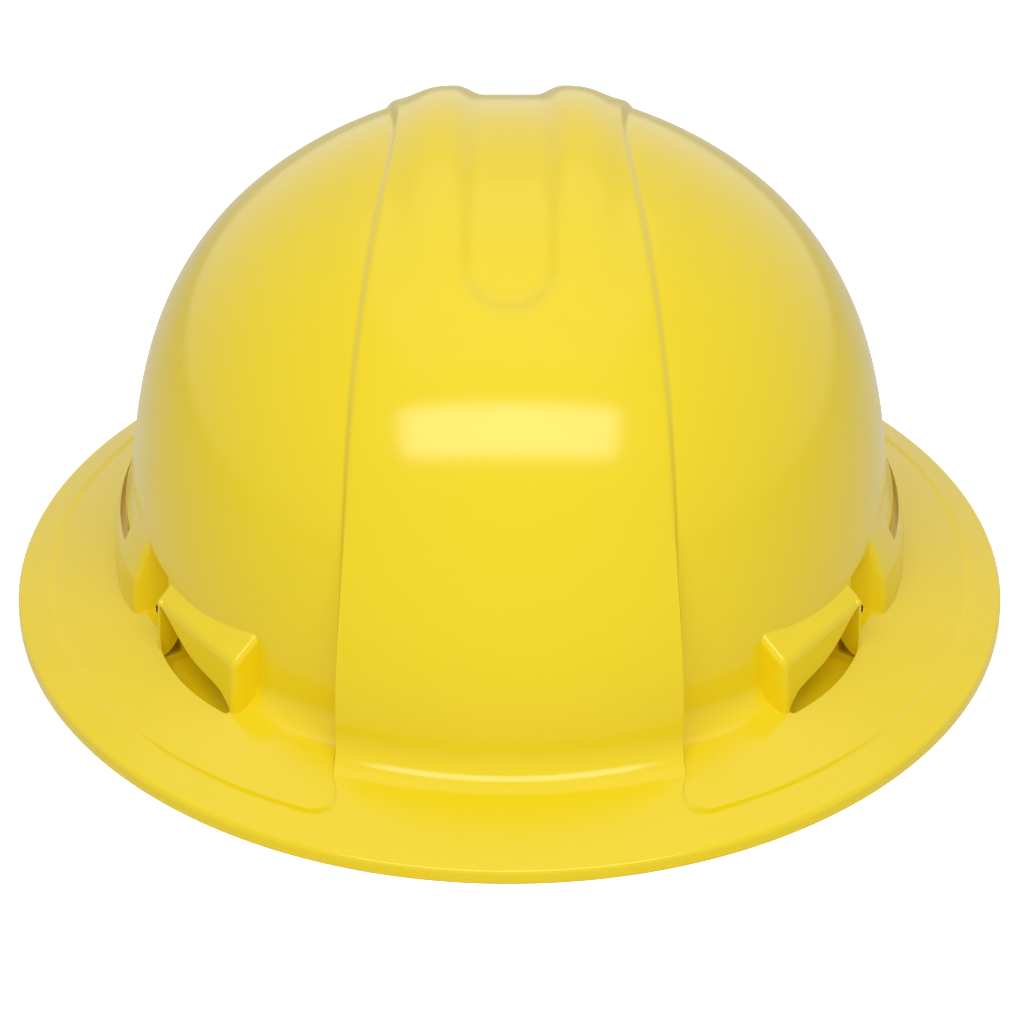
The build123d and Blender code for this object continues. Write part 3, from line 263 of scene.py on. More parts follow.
def shell_mesh():
    """The shell as one closed mesh whose rows follow the band's edges."""
    outside = hat_profile(0.0, 7.0)
    length, radius = outside[0], outside[1]
    ring_reach = float(np.interp(RING_START, radius, length))
    foot_reach = float(np.interp(FOOT_RADIUS + 3.0, radius, length))
    stations = np.linspace(-RING_START, RING_START, 1201)
    edge = band_edge(stations)
    edge_reach = np.interp(np.hypot(edge, stations), radius, length)
    edge_across = edge_reach * edge / np.hypot(edge, stations)
    edge_along = edge_reach * stations / np.hypot(edge, stations)
    corner = int(np.argmax(edge_reach < ring_reach))
    corner_turn = math.atan2(edge_across[corner], -edge_along[corner])
    rows = 220
    side_columns = 96
    band_columns = 64
    turns = np.linspace(corner_turn, math.pi - corner_turn, rows + 1)
    corner_along = ring_reach * math.cos(corner_turn)
    corner_across = ring_reach * math.sin(corner_turn)
    grid_reach = np.zeros((rows + 1, 2 * side_columns + band_columns + 1))
    grid_turn = np.zeros_like(grid_reach)
    fine = np.linspace(0, 1, 600)
    for row, turn in enumerate(turns):
        along = -ring_reach * math.cos(turn)
        limit = ring_reach * math.sin(turn)
        inner = float(np.interp(along, edge_along, edge_across)) if 0 < row < rows else corner_across
        inner = min(inner, limit)
        x = inner + (limit - inner) * fine
        away = np.hypot(x, along)
        cost = 1.0 + 5.0 * np.exp(-(((x - inner) / 3.5) ** 2))
        cost = cost + 2.2 * np.exp(-(((away - foot_reach) / 9.0) ** 2))
        side = inner + (limit - inner) * spaced(cost, side_columns)
        share = np.linspace(-1, 1, 600)
        cost = 1.0 + 2.5 * np.exp(-(((1 - np.abs(share)) * inner / 3.0) ** 2))
        cost = cost + 0.8 * np.exp(-(((np.abs(share) * inner - 14.0) / 9.0) ** 2))
        middle = (2 * spaced(cost, band_columns) - 1) * inner
        near_end = min(row, rows - row)
        fade = 1.0 - float(smooth(0.0, 48.0, np.array(float(near_end))))
        sense = -1.0 if row < rows / 2 else 1.0
        like_corner = np.clip(middle / max(inner, 1e-6), -1, 1) * corner_across
        bulge = (np.sqrt(ring_reach ** 2 - like_corner ** 2) - corner_along) * fade
        across = np.concatenate([-side[::-1], middle[1:-1], side])
        lengthways = np.full(across.shape, along)
        lengthways[side_columns:side_columns + band_columns + 1] += sense * bulge
        grid_reach[row] = np.hypot(across, lengthways)
        grid_turn[row] = np.arctan2(across, -lengthways)
    points = shell_points(outside, grid_reach, grid_turn)
    columns = points.shape[1]
    vertices = [points.reshape(-1, 3)]
    index = np.arange((rows + 1) * columns).reshape(rows + 1, columns)
    corners = [index[:-1, :-1], index[:-1, 1:], index[1:, 1:], index[1:, :-1]]
    faces = [np.stack(corners, axis=-1).reshape(-1, 4)]
    # Boundary of the grid, once round the hat from the front on the wearer's right
    left = side_columns
    right = side_columns + band_columns
    around = list(index[0, left:right + 1]) + list(index[1:rows + 1, -1])
    around += list(index[rows, left:right][::-1]) + list(index[1:rows, 0][::-1])
    around = np.array(around)
    turn_at = grid_turn.reshape(-1)[around]
    last = around
    count = len(vertices[0])

    def add_ring(ring_points):
        nonlocal last, count
        new = np.arange(count, count + len(around))
        faces.append(np.stack([last, new, np.roll(new, -1), np.roll(last, -1)], axis=-1)[:, ::-1])
        vertices.append(ring_points)
        last = new
        count += len(around)

    border = (150.4, 151.6, 152.4, 153.0, 153.5, 154.0, 154.5, 155.0, 155.6, 156.6, 158.2, 160.2, 162.2)
    for ring_radius in border:
        reach = np.full(len(around), float(np.interp(ring_radius, radius, length)))
        add_ring(shell_points(outside, reach, turn_at))

    def round_ring(r, z):
        x = r * np.sin(turn_at) * WIDTH_SHARE
        add_ring(np.stack([x, -r * np.cos(turn_at), np.full(len(around), z)], axis=-1))

    slope = math.tan(BRIM_SLOPE)
    top = RIM_HEIGHT + BRIM_STEP / math.cos(BRIM_SLOPE)
    centre_r = RIM_RADIUS - RIM_ROUNDING
    centre_z = top + slope * RIM_ROUNDING - RIM_ROUNDING / math.cos(BRIM_SLOPE)
    for degrees in np.linspace(76, 0, 7):
        bend = math.radians(degrees)
        round_ring(centre_r + RIM_ROUNDING * math.cos(bend), centre_z + RIM_ROUNDING * math.sin(bend))
    lip = (
        (165.0, 0.9), (164.93, 0.45), (164.7, 0.15), (164.3, 0.0), (162.5, 0.0), (162.05, 0.12), (161.85, 0.5),
    )
    for r, z in lip:
        round_ring(r, z)
    inside = hat_profile(WALL, 7.0)
    fall = np.interp(161.8, inside[1], inside[2])
    round_ring(161.8, fall - 0.5)
    round_ring(161.3, fall + 0.05)
    under = np.concatenate([np.linspace(158.0, 131.0, 7), [129.0, 127.6, 126.4, 125.4, 124.7, 124.2]])
    for r in under:
        round_ring(r, float(np.interp(r, inside[1], inside[2])))
    start = float(np.interp(124.0, inside[1], inside[0]))
    for reach in np.concatenate([np.linspace(start, 20.0, 22), [12.0, 6.0]]):
        r = float(np.interp(reach, inside[0], inside[1]))
        round_ring(r, float(np.interp(reach, inside[0], inside[2])))
    pole = count
    vertices.append(np.array([[0.0, 0.0, CROWN - WALL]]))
    triangles = [(int(a), int(b), pole) for a, b in zip(np.roll(last, -1), last)]
    mesh = bpy.data.meshes.new("hat_shell")
    quads = np.concatenate(faces)
    mesh.from_pydata((np.concatenate(vertices) * MM).tolist(), [], quads.tolist() + triangles)
    shell = bpy.data.objects.new("hat_shell", mesh)
    bpy.context.collection.objects.link(shell)
    return shell


def only(obj):
    """Make one object the active and only selected one."""
    bpy.ops.object.select_all(action="DESELECT")
    obj.select_set(True)
    bpy.context.view_layer.objects.active = obj


def weld(obj, distance=2e-6):
    """Merge doubled points and turn all faces outwards."""
    only(obj)
    bpy.ops.object.mode_set(mode="EDIT")
    bpy.ops.mesh.select_all(action="SELECT")
    bpy.ops.mesh.remove_doubles(threshold=distance)
    bpy.ops.mesh.dissolve_degenerate(threshold=1e-7)
    bpy.ops.mesh.normals_make_consistent(inside=False)
    bpy.ops.object.mode_set(mode="OBJECT")


def sections_solid(name, rings):
    """A closed solid through a row of outlines with the same number of points, in millimetres."""
    bpy.ops.object.select_all(action="DESELECT")
    bpy.ops.mesh.primitive_circle_add(vertices=len(rings[0]), radius=1, fill_type="NGON")
    solid = bpy.context.object
    solid.name = name
    bpy.ops.object.mode_set(mode="EDIT")
    bpy.ops.mesh.select_all(action="SELECT")
    for _ in range(len(rings) - 1):
        bpy.ops.mesh.extrude_region_move(TRANSFORM_OT_translate={"value": (0, 0, 1)})
    bpy.ops.object.mode_set(mode="OBJECT")

    def row_and_turn(vertex):
        return round(vertex.co.z), math.atan2(vertex.co.x, vertex.co.y) % (2 * math.pi)

    order = sorted(solid.data.vertices, key=row_and_turn)
    per = len(rings[0])
    for place, vertex in enumerate(order):
        vertex.co = Vector(rings[place // per][place % per]) * MM
    solid.data.update()
    weld(solid)
    return solid


def bevel_edges(obj, width, segments, chosen):
    """Round the edges that the test chooses."""
    only(obj)
    bpy.ops.object.mode_set(mode="EDIT")
    bpy.ops.mesh.select_mode(type="EDGE")
    bpy.ops.mesh.select_all(action="DESELECT")
    bpy.ops.object.mode_set(mode="OBJECT")
    for edge in obj.data.edges:
        a, b = (obj.data.vertices[i].co / MM for i in edge.vertices)
        edge.select = chosen(a, b)
    bpy.ops.object.mode_set(mode="EDIT")
    bpy.ops.mesh.bevel(offset=width * MM, segments=segments, affect="EDGES")
    bpy.ops.mesh.select_all(action="SELECT")
    bpy.ops.mesh.normals_make_consistent(inside=False)
    bpy.ops.object.mode_set(mode="OBJECT")


def corner_point(n, t, z):
    """Point of the front corner on the wearer's left: outward n, towards the rear t, height z."""
    return (
        n * math.sin(BOSS_TURN) + t * math.cos(BOSS_TURN),
        -n * math.cos(BOSS_TURN) + t * math.sin(BOSS_TURN),
        z,
    )


def corner_place(v):
    """Outward, rearward and height coordinates of a point in the front corner on the wearer's left."""
    across, ahead = math.sin(BOSS_TURN), math.cos(BOSS_TURN)
    return v.x * across - v.y * ahead, v.x * ahead + v.y * across, v.z


def boss_solid():
    """Boss of the suspension corner: sloping roof, upright outer wall and rounded front end."""
    outline = [(104.0, 8.0), (119.4, 8.0), (118.5, 26.2), (110.6, 33.0), (104.0, 33.0)]
    rings = [[corner_point(n, t, z) for n, z in outline] for t in (BOSS_REAR, BOSS_FRONT)]
    solid = sections_solid("boss", rings)

    def outer_edge(a, b):
        (na, ta, za), (nb, tb, zb) = corner_place(a), corner_place(b)
        crest = min(na, nb) > 117 and min(za, zb) > 25
        nose = min(na, nb) > 117 and max(ta, tb) < -44
        roof_end = max(ta, tb) < -44 and min(za, zb) > 25 and abs(na - nb) > 4 and abs(za - zb) > 3
        return crest or nose or roof_end

    bevel_edges(solid, BOSS_EDGE, 6, outer_edge)
    bpy.ops.object.select_all(action="DESELECT")
    place = Vector(corner_point(117.6, -5.6, 25.7)) * MM
    bpy.ops.mesh.primitive_uv_sphere_add(segments=24, ring_count=16, radius=1.35 * MM, location=place)
    bead = bpy.context.object
    bpy.ops.object.transform_apply(location=True, rotation=True, scale=True)
    combine(solid, [bead], "UNION")
    return solid


def recess_bow(grow):
    """Outer outline of the recess in plan: an arc through three points, moved outwards by a length."""
    through = ((120.3, RECESS_FRONT), (122.1, -25.0), (RECESS_INNER, 12.0))
    p, q, r = (np.array(point) for point in through)
    turn = np.array([q - p, r - q])
    centre = np.linalg.solve(turn, np.array([(q @ q - p @ p) / 2, (r @ r - q @ q) / 2]))
    radius = float(np.linalg.norm(p - centre))
    start = math.atan2(p[1] - centre[1], p[0] - centre[0])
    stop = math.atan2(r[1] - centre[1], r[0] - centre[0])
    radius += grow
    angles = np.linspace(start, stop, 33)
    return [(centre[0] + radius * math.cos(a), centre[1] + radius * math.sin(a)) for a in angles]


def recess_solid():
    """Cutter for the recess below the sloping lower edge of the boss wall."""
    bow = [(n, t) for n, t in recess_bow(0.0) if t < -4.5]
    plan = [(RECESS_INNER, RECESS_FRONT)] + bow + [(RECESS_INNER, bow[-1][1])]
    block = sections_solid("recess", [[corner_point(n, t, z) for n, t in plan] for z in (RECESS_FLOOR, 40.0)])
    edge = [
        (-60.0, 12.0), (RECESS_FRONT, 12.0), (-41.0, 13.7), (-38.5, 15.2), (-35.0, 15.9), (-30.0, 16.4),
        (-25.0, 17.1), (-20.5, 18.4), (-16.0, 20.5), (-12.0, 22.8), (-8.0, 24.8), (BOSS_REAR, 25.5),
        (-2.0, 25.5), (30.0, 25.5), (30.0, 60.0), (-60.0, 60.0),
    ]
    lid = sections_solid("recess_lid", [[corner_point(n, t, z) for t, z in edge] for n in (100.0, 130.0)])
    combine(block, [lid], "DIFFERENCE")
    return block


def recess_pan():
    """Floor under the recess, which keeps it closed below the brim."""
    plan = [(108.6, -45.0)] + recess_bow(1.6)
    return sections_solid("pan", [[corner_point(n, t, z) for n, t in plan] for z in (4.8, 8.6)])


def pocket_solid():
    """Cutter for the pocket in the dome between the hood's front end and the boss."""
    inner, outer = [], []
    for share, side in ((0.96, inner), (1.06, outer)):
        for y in np.linspace(-53.8, -82.0, 400):
            x = foot_x(share, y)
            if corner_place(Vector((x, y, 0.0)))[1] < -2.6:
                break
            side.append((x, y))

    def thinned(side):
        return [side[i] for i in np.linspace(0, len(side) - 1, 9).astype(int)]

    plan = thinned(inner) + thinned(outer)[::-1]
    top = [(x, y, float(np.interp(y, [-70.0, -54.0], [30.2, 33.5]))) for x, y in plan]
    return sections_solid("pocket", [[(x, y, POCKET_FLOOR) for x, y in plan], top])


def combine(base, others, operation):
    """Join others to an object or cut them out of it; the others are then deleted."""
    for other in others:
        modifier = base.modifiers.new("cut", "BOOLEAN")
        modifier.operation = operation
        modifier.solver = "MANIFOLD"
        modifier.object = other
        only(base)
        bpy.ops.object.modifier_apply(modifier=modifier.name)
        bpy.data.objects.remove(other, do_unlink=True)


def mirrored_copy(obj, across, along):
    """A copy mirrored across the hat, along it, or both."""
    only(obj)
    bpy.ops.object.duplicate()
    copy = bpy.context.object
    bpy.ops.object.mode_set(mode="EDIT")
    bpy.ops.mesh.select_all(action="SELECT")
    bpy.ops.transform.resize(value=(-1 if across else 1, -1 if along else 1, 1), center_override=(0, 0, 0))
    bpy.ops.mesh.normals_make_consistent(inside=False)
    bpy.ops.object.mode_set(mode="OBJECT")
    return copy


def joined(objects, name):
    """One object from several."""
    bpy.ops.object.select_all(action="DESELECT")
    for obj in objects:
        obj.select_set(True)
    bpy.context.view_layer.objects.active = objects[0]
    if len(objects) > 1:
        bpy.ops.object.join()
    objects[0].name = name
    return objects[0]


def at_corners(solid):
    """The solid and its mirror images at the other three corners, as one object."""
    ways = ((True, False), (False, True), (True, True))
    copies = [mirrored_copy(solid, across, along) for across, along in ways]
    return joined([solid] + copies, solid.name)


def foot_x(share, y):
    """Half width of the dome's foot, grown by a share, at a station."""
    reach = FOOT_RADIUS * share
    return reach * WIDTH_SHARE * math.sqrt(max(1 - (y / reach) ** 2, 0.0))


def hood_solid():
    """Hood of the accessory slot on the wearer's left, with a thin channel behind its lip."""
    rings = []
    stations = (
        -53.5, -50.0, -46.0, -43.0, -38.0, -37.2, -32.0, -26.0, -20.0, -13.0, -6.0, 0.0, 6.0, 13.0, 20.0, 26.0,
        32.0, 38.2, 39.0, 44.0, 46.0,
    )
    for y in stations:
        channel = -37.5 < y < 38.5
        tuck = 0.008 * float(smooth(-44.0, -54.0, np.array(y)))
        outline = [
            (0.93, 9.0), (1.053 - tuck, 9.0), (1.045 - tuck, 23.0), (1.031 - tuck, 26.5),
            (1.031 - tuck, 22.4 if channel else 26.5), (1.014, 22.4 if channel else 30.75), (1.014, 30.75),
            (0.985, 38.0), (0.93, 38.5),
        ]
        rings.append([(foot_x(share, y), y, z) for share, z in outline])
    solid = sections_solid("hood", rings)

    def lip(a, b):
        inner = foot_x(1.035, (a.y + b.y) / 2)
        level = abs(a.z - 23.0) < 0.2 and abs(b.z - 23.0) < 0.2
        return level and abs(a.y - b.y) > 0.5 and a.x > inner - 1.0

    def ends(a, b):
        crosswise = abs(a.y - b.y) < 0.2 and (a.y < -53.3 or a.y > 45.8)
        return crosswise and max(a.z, b.z) > 10 and min(a.x, b.x) > foot_x(0.98, a.y)

    bevel_edges(solid, HOOD_EDGE, 4, lambda a, b: lip(a, b) or ends(a, b))
    return solid


def arc_block(name, inner_share, outer_share, front, back, low, high):
    """Block that follows the dome's foot on the wearer's left."""
    rings = []
    for y in np.linspace(front, back, 9):
        inner = foot_x(inner_share, y)
        outer = foot_x(outer_share, y)
        rings.append([(inner, y, low), (outer, y, low), (outer, y, high), (inner, y, high)])
    return sections_solid(name, rings)


def turned_block(name, n, t, z):
    """Upright block in the front corner on the wearer's left, from pairs of limits."""
    plan = [(n[0], t[0]), (n[1], t[0]), (n[1], t[1]), (n[0], t[1])]
    return sections_solid(name, [[corner_point(a, b, height) for a, b in plan] for height in z])


def cavity_form():
    """The space inside the dome and under the brim, as a solid."""
    inside = hat_profile(WALL, 7.0)
    reach = inside[0]
    around = np.linspace(0, 2 * math.pi, 180, endpoint=False)
    rings = []

    def level_ring(r, z):
        rings.append([(r * math.sin(a) * WIDTH_SHARE, r * math.cos(a), z) for a in around])

    for at in np.concatenate([np.linspace(4.0, 150.0, 38), np.linspace(154.0, reach[-1] + 0.1, 40)]):
        r = float(np.interp(at, reach, inside[1]))
        if r < RIM_RADIUS - RIM_LIP:
            level_ring(r, float(np.interp(at, reach, inside[2])))
    level_ring(RIM_RADIUS - RIM_LIP, -6.0)
    return sections_solid("cavity", rings)


def make_shell():
    """The whole shell, with bosses, hoods and lugs joined on and recesses, pockets and slots cut in."""
    shell = shell_mesh()
    weld(shell)
    recess = recess_solid()
    pan = recess_pan()
    lug = turned_block("lug", (102.5, 110.9), (-45.0, -2.5), (8.0, 26.0))
    bevel_edges(lug, 1.2, 3, lambda a, b: True)
    backing = arc_block("backing", 0.935, 0.985, -78.0, -50.0, 5.2, 36.0)
    pocket = pocket_solid()
    key_slot = turned_block("key_slot", (104.15, 107.9), (-34.45, -6.55), (0.0, 23.25))
    slot = arc_block("slot", 0.993, 1.0225, -30.0, 30.0, -2.0, 18.0)
    cavity = cavity_form()
    hood = hood_solid()
    hoods = joined([hood, mirrored_copy(hood, True, False)], "hoods")
    bosses = at_corners(boss_solid())
    combine(bosses, [hoods], "UNION")
    combine(bosses, [cavity], "DIFFERENCE")
    slots = joined([slot, mirrored_copy(slot, True, False)], "slots")
    combine(shell, [bosses, at_corners(pan), at_corners(lug), at_corners(backing)], "UNION")
    combine(shell, [at_corners(pocket), at_corners(recess), at_corners(key_slot), slots], "DIFFERENCE")
    only(shell)
    bpy.ops.object.shade_smooth_by_angle(angle=math.radians(32))
    return shell


def strap_path(apex):
    """Middle line of a crown strap in its own upright plane, from one sewn end to the other."""
    arm = [
        (95.9, STRAP_SPRING), (95.9, 27.0), (95.9, 22.0), (99.6, 17.6), (99.6, 11.3), (STRAP_REACH, 11.3),
        (STRAP_REACH, 20.0),
    ]
    arch = []
    for angle in np.linspace(0.0, math.pi, 61):
        rise = apex - 0.6 - STRAP_SPRING
        arch.append((STRAP_REACH * math.cos(angle), STRAP_SPRING + rise * math.sin(angle)))
    points = np.array(arm + arch + [(-u, z) for u, z in arm[::-1]])
    steps = np.concatenate([[0.0], np.cumsum(np.linalg.norm(np.diff(points, axis=0), axis=1))])
    even = np.arange(0.0, steps[-1], STRAP_STEP)
    u = blurred(np.interp(even, steps, points[:, 0]), 0.9, STRAP_STEP)
    z = blurred(np.interp(even, steps, points[:, 1]), 0.9, STRAP_STEP)
    return np.stack([u, z], axis=-1)


def crown_webbing(name, turn, apex):
    """A flat woven strap with rounded edges, looped round a key's bar at each end and sewn back."""
    path = strap_path(apex)
    along = np.gradient(path, axis=0)
    along /= np.linalg.norm(along, axis=1)[:, None]
    side = np.stack([-along[:, 1], along[:, 0]], axis=-1)
    edge = [
        (-9.5, 0.0), (-9.3, 0.42), (-8.7, 0.55), (8.7, 0.55), (9.3, 0.42), (9.5, 0.0), (9.3, -0.42),
        (8.7, -0.55), (-8.7, -0.55), (-9.3, -0.42),
    ]
    across, ahead = math.sin(turn), math.cos(turn)
    rings = []
    for (u, z), (du, dz) in zip(path, side):
        ring = []
        for wide, thick in edge:
            reach = u + thick * du
            ring.append((reach * across + wide * ahead, -reach * ahead + wide * across, z + thick * dz))
        rings.append(ring)
    strap = sections_solid(name, rings)
    sheet = strap.data.uv_layers.new(name="strap")
    for loop in strap.data.loops:
        x, y, z = strap.data.vertices[loop.vertex_index].co / MM
        reach, wide = x * across - y * ahead, x * ahead + y * across
        nearest = int(np.argmin((path[:, 0] - reach) ** 2 + (path[:, 1] - z) ** 2))
        sheet.data[loop.index].uv = (wide * MM, nearest * STRAP_STEP * MM)
    strap.data.materials.append(webbing())
    threads = strap_stitches(turn)
    thread = moulded_plastic("grey_thread", (0.05, 0.05, 0.05), (0.10, 0.10, 0.10), 0.6, 3000.0)
    threads.data.materials.append(thread)
    whole = joined([strap, threads], name)
    only(whole)
    bpy.ops.object.shade_smooth_by_angle(angle=math.radians(40))
    return whole


def strap_stitches(turn):
    """Thread of the sewn boxes on both faces of the two lapped ends."""
    across, ahead = math.sin(turn), math.cos(turn)
    spots = []
    for wide in np.arange(-7.0, 7.1, 2.0):
        spots += [(wide, 24.6, True), (wide, 32.4, True)]
    for z in np.arange(26.0, 31.1, 1.7):
        spots += [(-8.0, z, False), (8.0, z, False)]
        spots += [((z - 28.5) * 2.2, z, False), ((28.5 - z) * 2.2, z, False)]
    pieces = []
    for end in (1, -1):
        for face in (96.52, 94.22):
            for wide, z, level in spots:
                a, b = STITCH_HALF_WIDTH, STITCH_HALF_LENGTH
                if level:
                    a, b = b, a
                corners = [(-a, -b), (a, -b), (a, b), (-a, b)]
                rings = []
                for depth in (-STITCH_HALF_DEPTH, STITCH_HALF_DEPTH):
                    reach = end * (face + depth)
                    rings.append([
                        (reach * across + (wide + i) * ahead, -reach * ahead + (wide + i) * across, z + j)
                        for i, j in corners
                    ])
                pieces.append(sections_solid("stitch", rings))
    return joined(pieces, "stitches")


def cushion(node, name):
    """A swollen cloth cushion from a CAD pad, grown by the cloth solver out of a slimmer copy."""
    only(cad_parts[node])
    bpy.ops.object.duplicate()
    pad = bpy.context.object
    pad.name = name
    pad.parent = None
    pad.data.materials.clear()
    weld(pad)
    slim = pad.modifiers.new("slim", "DISPLACE")
    slim.strength = -PAD_SLIMMING * MM
    slim.mid_level = 0.0
    bpy.ops.object.modifier_apply(modifier=slim.name)
    grid = pad.modifiers.new("grid", "REMESH")
    grid.mode = "VOXEL"
    grid.voxel_size = PAD_GRID * MM
    bpy.ops.object.modifier_apply(modifier=grid.name)
    start = np.array([tuple(v.co) for v in pad.data.vertices])
    cloth = pad.modifiers.new("swell", "CLOTH")
    cloth.settings.use_pressure = True
    cloth.settings.uniform_pressure_force = 4.0
    cloth.settings.effector_weights.gravity = 0.0
    cloth.settings.tension_stiffness = 12.0
    cloth.settings.compression_stiffness = 12.0
    cloth.settings.mass = 0.3
    for step in range(1, PAD_FRAMES + 1):
        bpy.context.scene.frame_set(step)
    bpy.ops.object.modifier_apply(modifier=cloth.name)
    bpy.context.scene.frame_set(1)
    end = np.array([tuple(v.co) for v in pad.data.vertices])
    move = end - start
    size = np.linalg.norm(move, axis=1)
    move *= np.minimum(1.0, PAD_SWELLING * MM / np.maximum(size, 1e-9))[:, None]
    for vertex, place in zip(pad.data.vertices, start + move):
        vertex.co = place
    soften = pad.modifiers.new("soften", "SMOOTH")
    soften.factor = 0.5
    soften.iterations = 4
    bpy.ops.object.modifier_apply(modifier=soften.name)
    fine = pad.modifiers.new("fine", "SUBSURF")
    fine.levels = 1
    bpy.ops.object.modifier_apply(modifier=fine.name)
    bpy.ops.object.shade_smooth()
    pad.data.materials.append(pad_cloth())
    return pad


def flexible_arm(node, name):
    """A finely divided copy of a headband side."""
    only(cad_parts[node])
    bpy.ops.object.duplicate()
    arm = bpy.context.object
    arm.name = name
    arm.parent = None
    arm.data.materials.clear()
    weld(arm)
    bpy.ops.object.mode_set(mode="EDIT")
    bpy.ops.mesh.select_all(action="SELECT")
    bpy.ops.mesh.subdivide(number_cuts=3)
    bpy.ops.object.mode_set(mode="OBJECT")
    bpy.ops.object.shade_smooth_by_angle(angle=math.radians(35))
    return arm


def make_suspension():
    """Straps, cushions and the headband's flexible sides."""
    across = KEY_OUT * math.sin(BOSS_TURN) - KEY_BACK * math.cos(BOSS_TURN)
    ahead = KEY_OUT * math.cos(BOSS_TURN) + KEY_BACK * math.sin(BOSS_TURN)
    turn = math.atan2(across, ahead)
    for name, node, way, apex in (
        ("lower_strap_webbing", "lower_crown_strap", 1, 105.0),
        ("upper_strap_webbing", "upper_crown_strap", -1, 106.8),
    ):
        strap = crown_webbing(name, way * turn, apex)
        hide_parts(node)
        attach(strap, "hat")
    for name, node in (("brow_cushion", "brow_pad"), ("nape_cushion", "nape_pad")):
        pad = cushion(node, name)
        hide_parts(node)
        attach(pad, "hat")
    plastic = moulded_plastic("grey_band_plastic", (0.018, 0.018, 0.02), (0.03, 0.03, 0.032), 0.5, 700.0)
    for side, rack in (("left", "left_rack"), ("right", "right_rack")):
        arm = flexible_arm(side + "_headband_arm", side + "_band_side")
        arm.data.materials.append(plastic)
        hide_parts(side + "_headband_arm")
        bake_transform(arm)


def node_material(name):
    """An empty node material with its shader and output."""
    material = bpy.data.materials.new(name)
    material.use_nodes = True
    shader = material.node_tree.nodes["Principled BSDF"]
    return material, material.node_tree.nodes, material.node_tree.links, shader


def noise(nodes, scale, detail):
    """Noise texture node."""
    texture = nodes.new("ShaderNodeTexNoise")
    texture.inputs["Scale"].default_value = scale
    texture.inputs["Detail"].default_value = detail
    return texture


def bands(nodes, direction, scale, distortion):
    """Texture node of parallel bands."""
    texture = nodes.new("ShaderNodeTexWave")
    texture.wave_type = "BANDS"
    texture.bands_direction = direction
    texture.inputs["Scale"].default_value = scale
    texture.inputs["Distortion"].default_value = distortion
    return texture


def colour_range(nodes, low, high):
    """Colour ramp node between two colours."""
    ramp = nodes.new("ShaderNodeValToRGB")
    ramp.color_ramp.elements[0].color = (*low, 1)
    ramp.color_ramp.elements[1].color = (*high, 1)
    return ramp


def value_range(nodes, low, high):
    """Node that spreads 0 to 1 between two values."""
    spread = nodes.new("ShaderNodeMapRange")
    spread.inputs["To Min"].default_value = low
    spread.inputs["To Max"].default_value = high
    return spread


def relief(nodes, strength, distance):
    """Bump node."""
    bump = nodes.new("ShaderNodeBump")
    bump.inputs["Strength"].default_value = strength
    bump.inputs["Distance"].default_value = distance
    return bump


def shell_plastic():
    """Glossy yellow moulded plastic with a faint unevenness in its gloss and its skin."""
    material, nodes, links, shader = node_material("yellow_gloss_plastic")
    place = nodes.new("ShaderNodeTexCoord")
    tone = noise(nodes, 9.0, 3.0)
    ramp = colour_range(nodes, (0.86, 0.65, 0.004), (0.89, 0.68, 0.007))
    wear = noise(nodes, 42.0, 5.0)
    gloss = value_range(nodes, 0.13, 0.2)
    peel = noise(nodes, 620.0, 2.0)
    bump = relief(nodes, 0.03, 0.0004)
    for texture in (tone, wear, peel):
        links.new(place.outputs["Object"], texture.inputs["Vector"])
    links.new(tone.outputs["Fac"], ramp.inputs["Fac"])
    links.new(ramp.outputs["Color"], shader.inputs["Base Color"])
    links.new(wear.outputs["Fac"], gloss.inputs["Value"])
    links.new(gloss.outputs["Result"], shader.inputs["Roughness"])
    links.new(peel.outputs["Fac"], bump.inputs["Height"])
    links.new(bump.outputs["Normal"], shader.inputs["Normal"])
    shader.inputs["IOR"].default_value = 1.42
    return material


def moulded_plastic(name, low, high, rough, grain):
    """Dark moulded plastic with a fine grain in its skin."""
    material, nodes, links, shader = node_material(name)
    place = nodes.new("ShaderNodeTexCoord")
    tone = noise(nodes, 70.0, 4.0)
    ramp = colour_range(nodes, low, high)
    gloss = value_range(nodes, rough - 0.07, rough + 0.07)
    skin = noise(nodes, grain, 3.0)
    bump = relief(nodes, 0.12, 0.0003)
    for texture in (tone, skin):
        links.new(place.outputs["Object"], texture.inputs["Vector"])
    links.new(tone.outputs["Fac"], ramp.inputs["Fac"])
    links.new(ramp.outputs["Color"], shader.inputs["Base Color"])
    links.new(tone.outputs["Fac"], gloss.inputs["Value"])
    links.new(gloss.outputs["Result"], shader.inputs["Roughness"])
    links.new(skin.outputs["Fac"], bump.inputs["Height"])
    links.new(bump.outputs["Normal"], shader.inputs["Normal"])
    return material


def screw_steel():
    """Zinc plated steel with fine turning marks."""
    material, nodes, links, shader = node_material("zinc_steel")
    place = nodes.new("ShaderNodeTexCoord")
    marks = noise(nodes, 900.0, 3.0)
    ramp = colour_range(nodes, (0.42, 0.42, 0.43), (0.62, 0.62, 0.62))
    gloss = value_range(nodes, 0.28, 0.45)
    links.new(place.outputs["Object"], marks.inputs["Vector"])
    links.new(marks.outputs["Fac"], ramp.inputs["Fac"])
    links.new(ramp.outputs["Color"], shader.inputs["Base Color"])
    links.new(marks.outputs["Fac"], gloss.inputs["Value"])
    links.new(gloss.outputs["Result"], shader.inputs["Roughness"])
    shader.inputs["Metallic"].default_value = 1.0
    return material


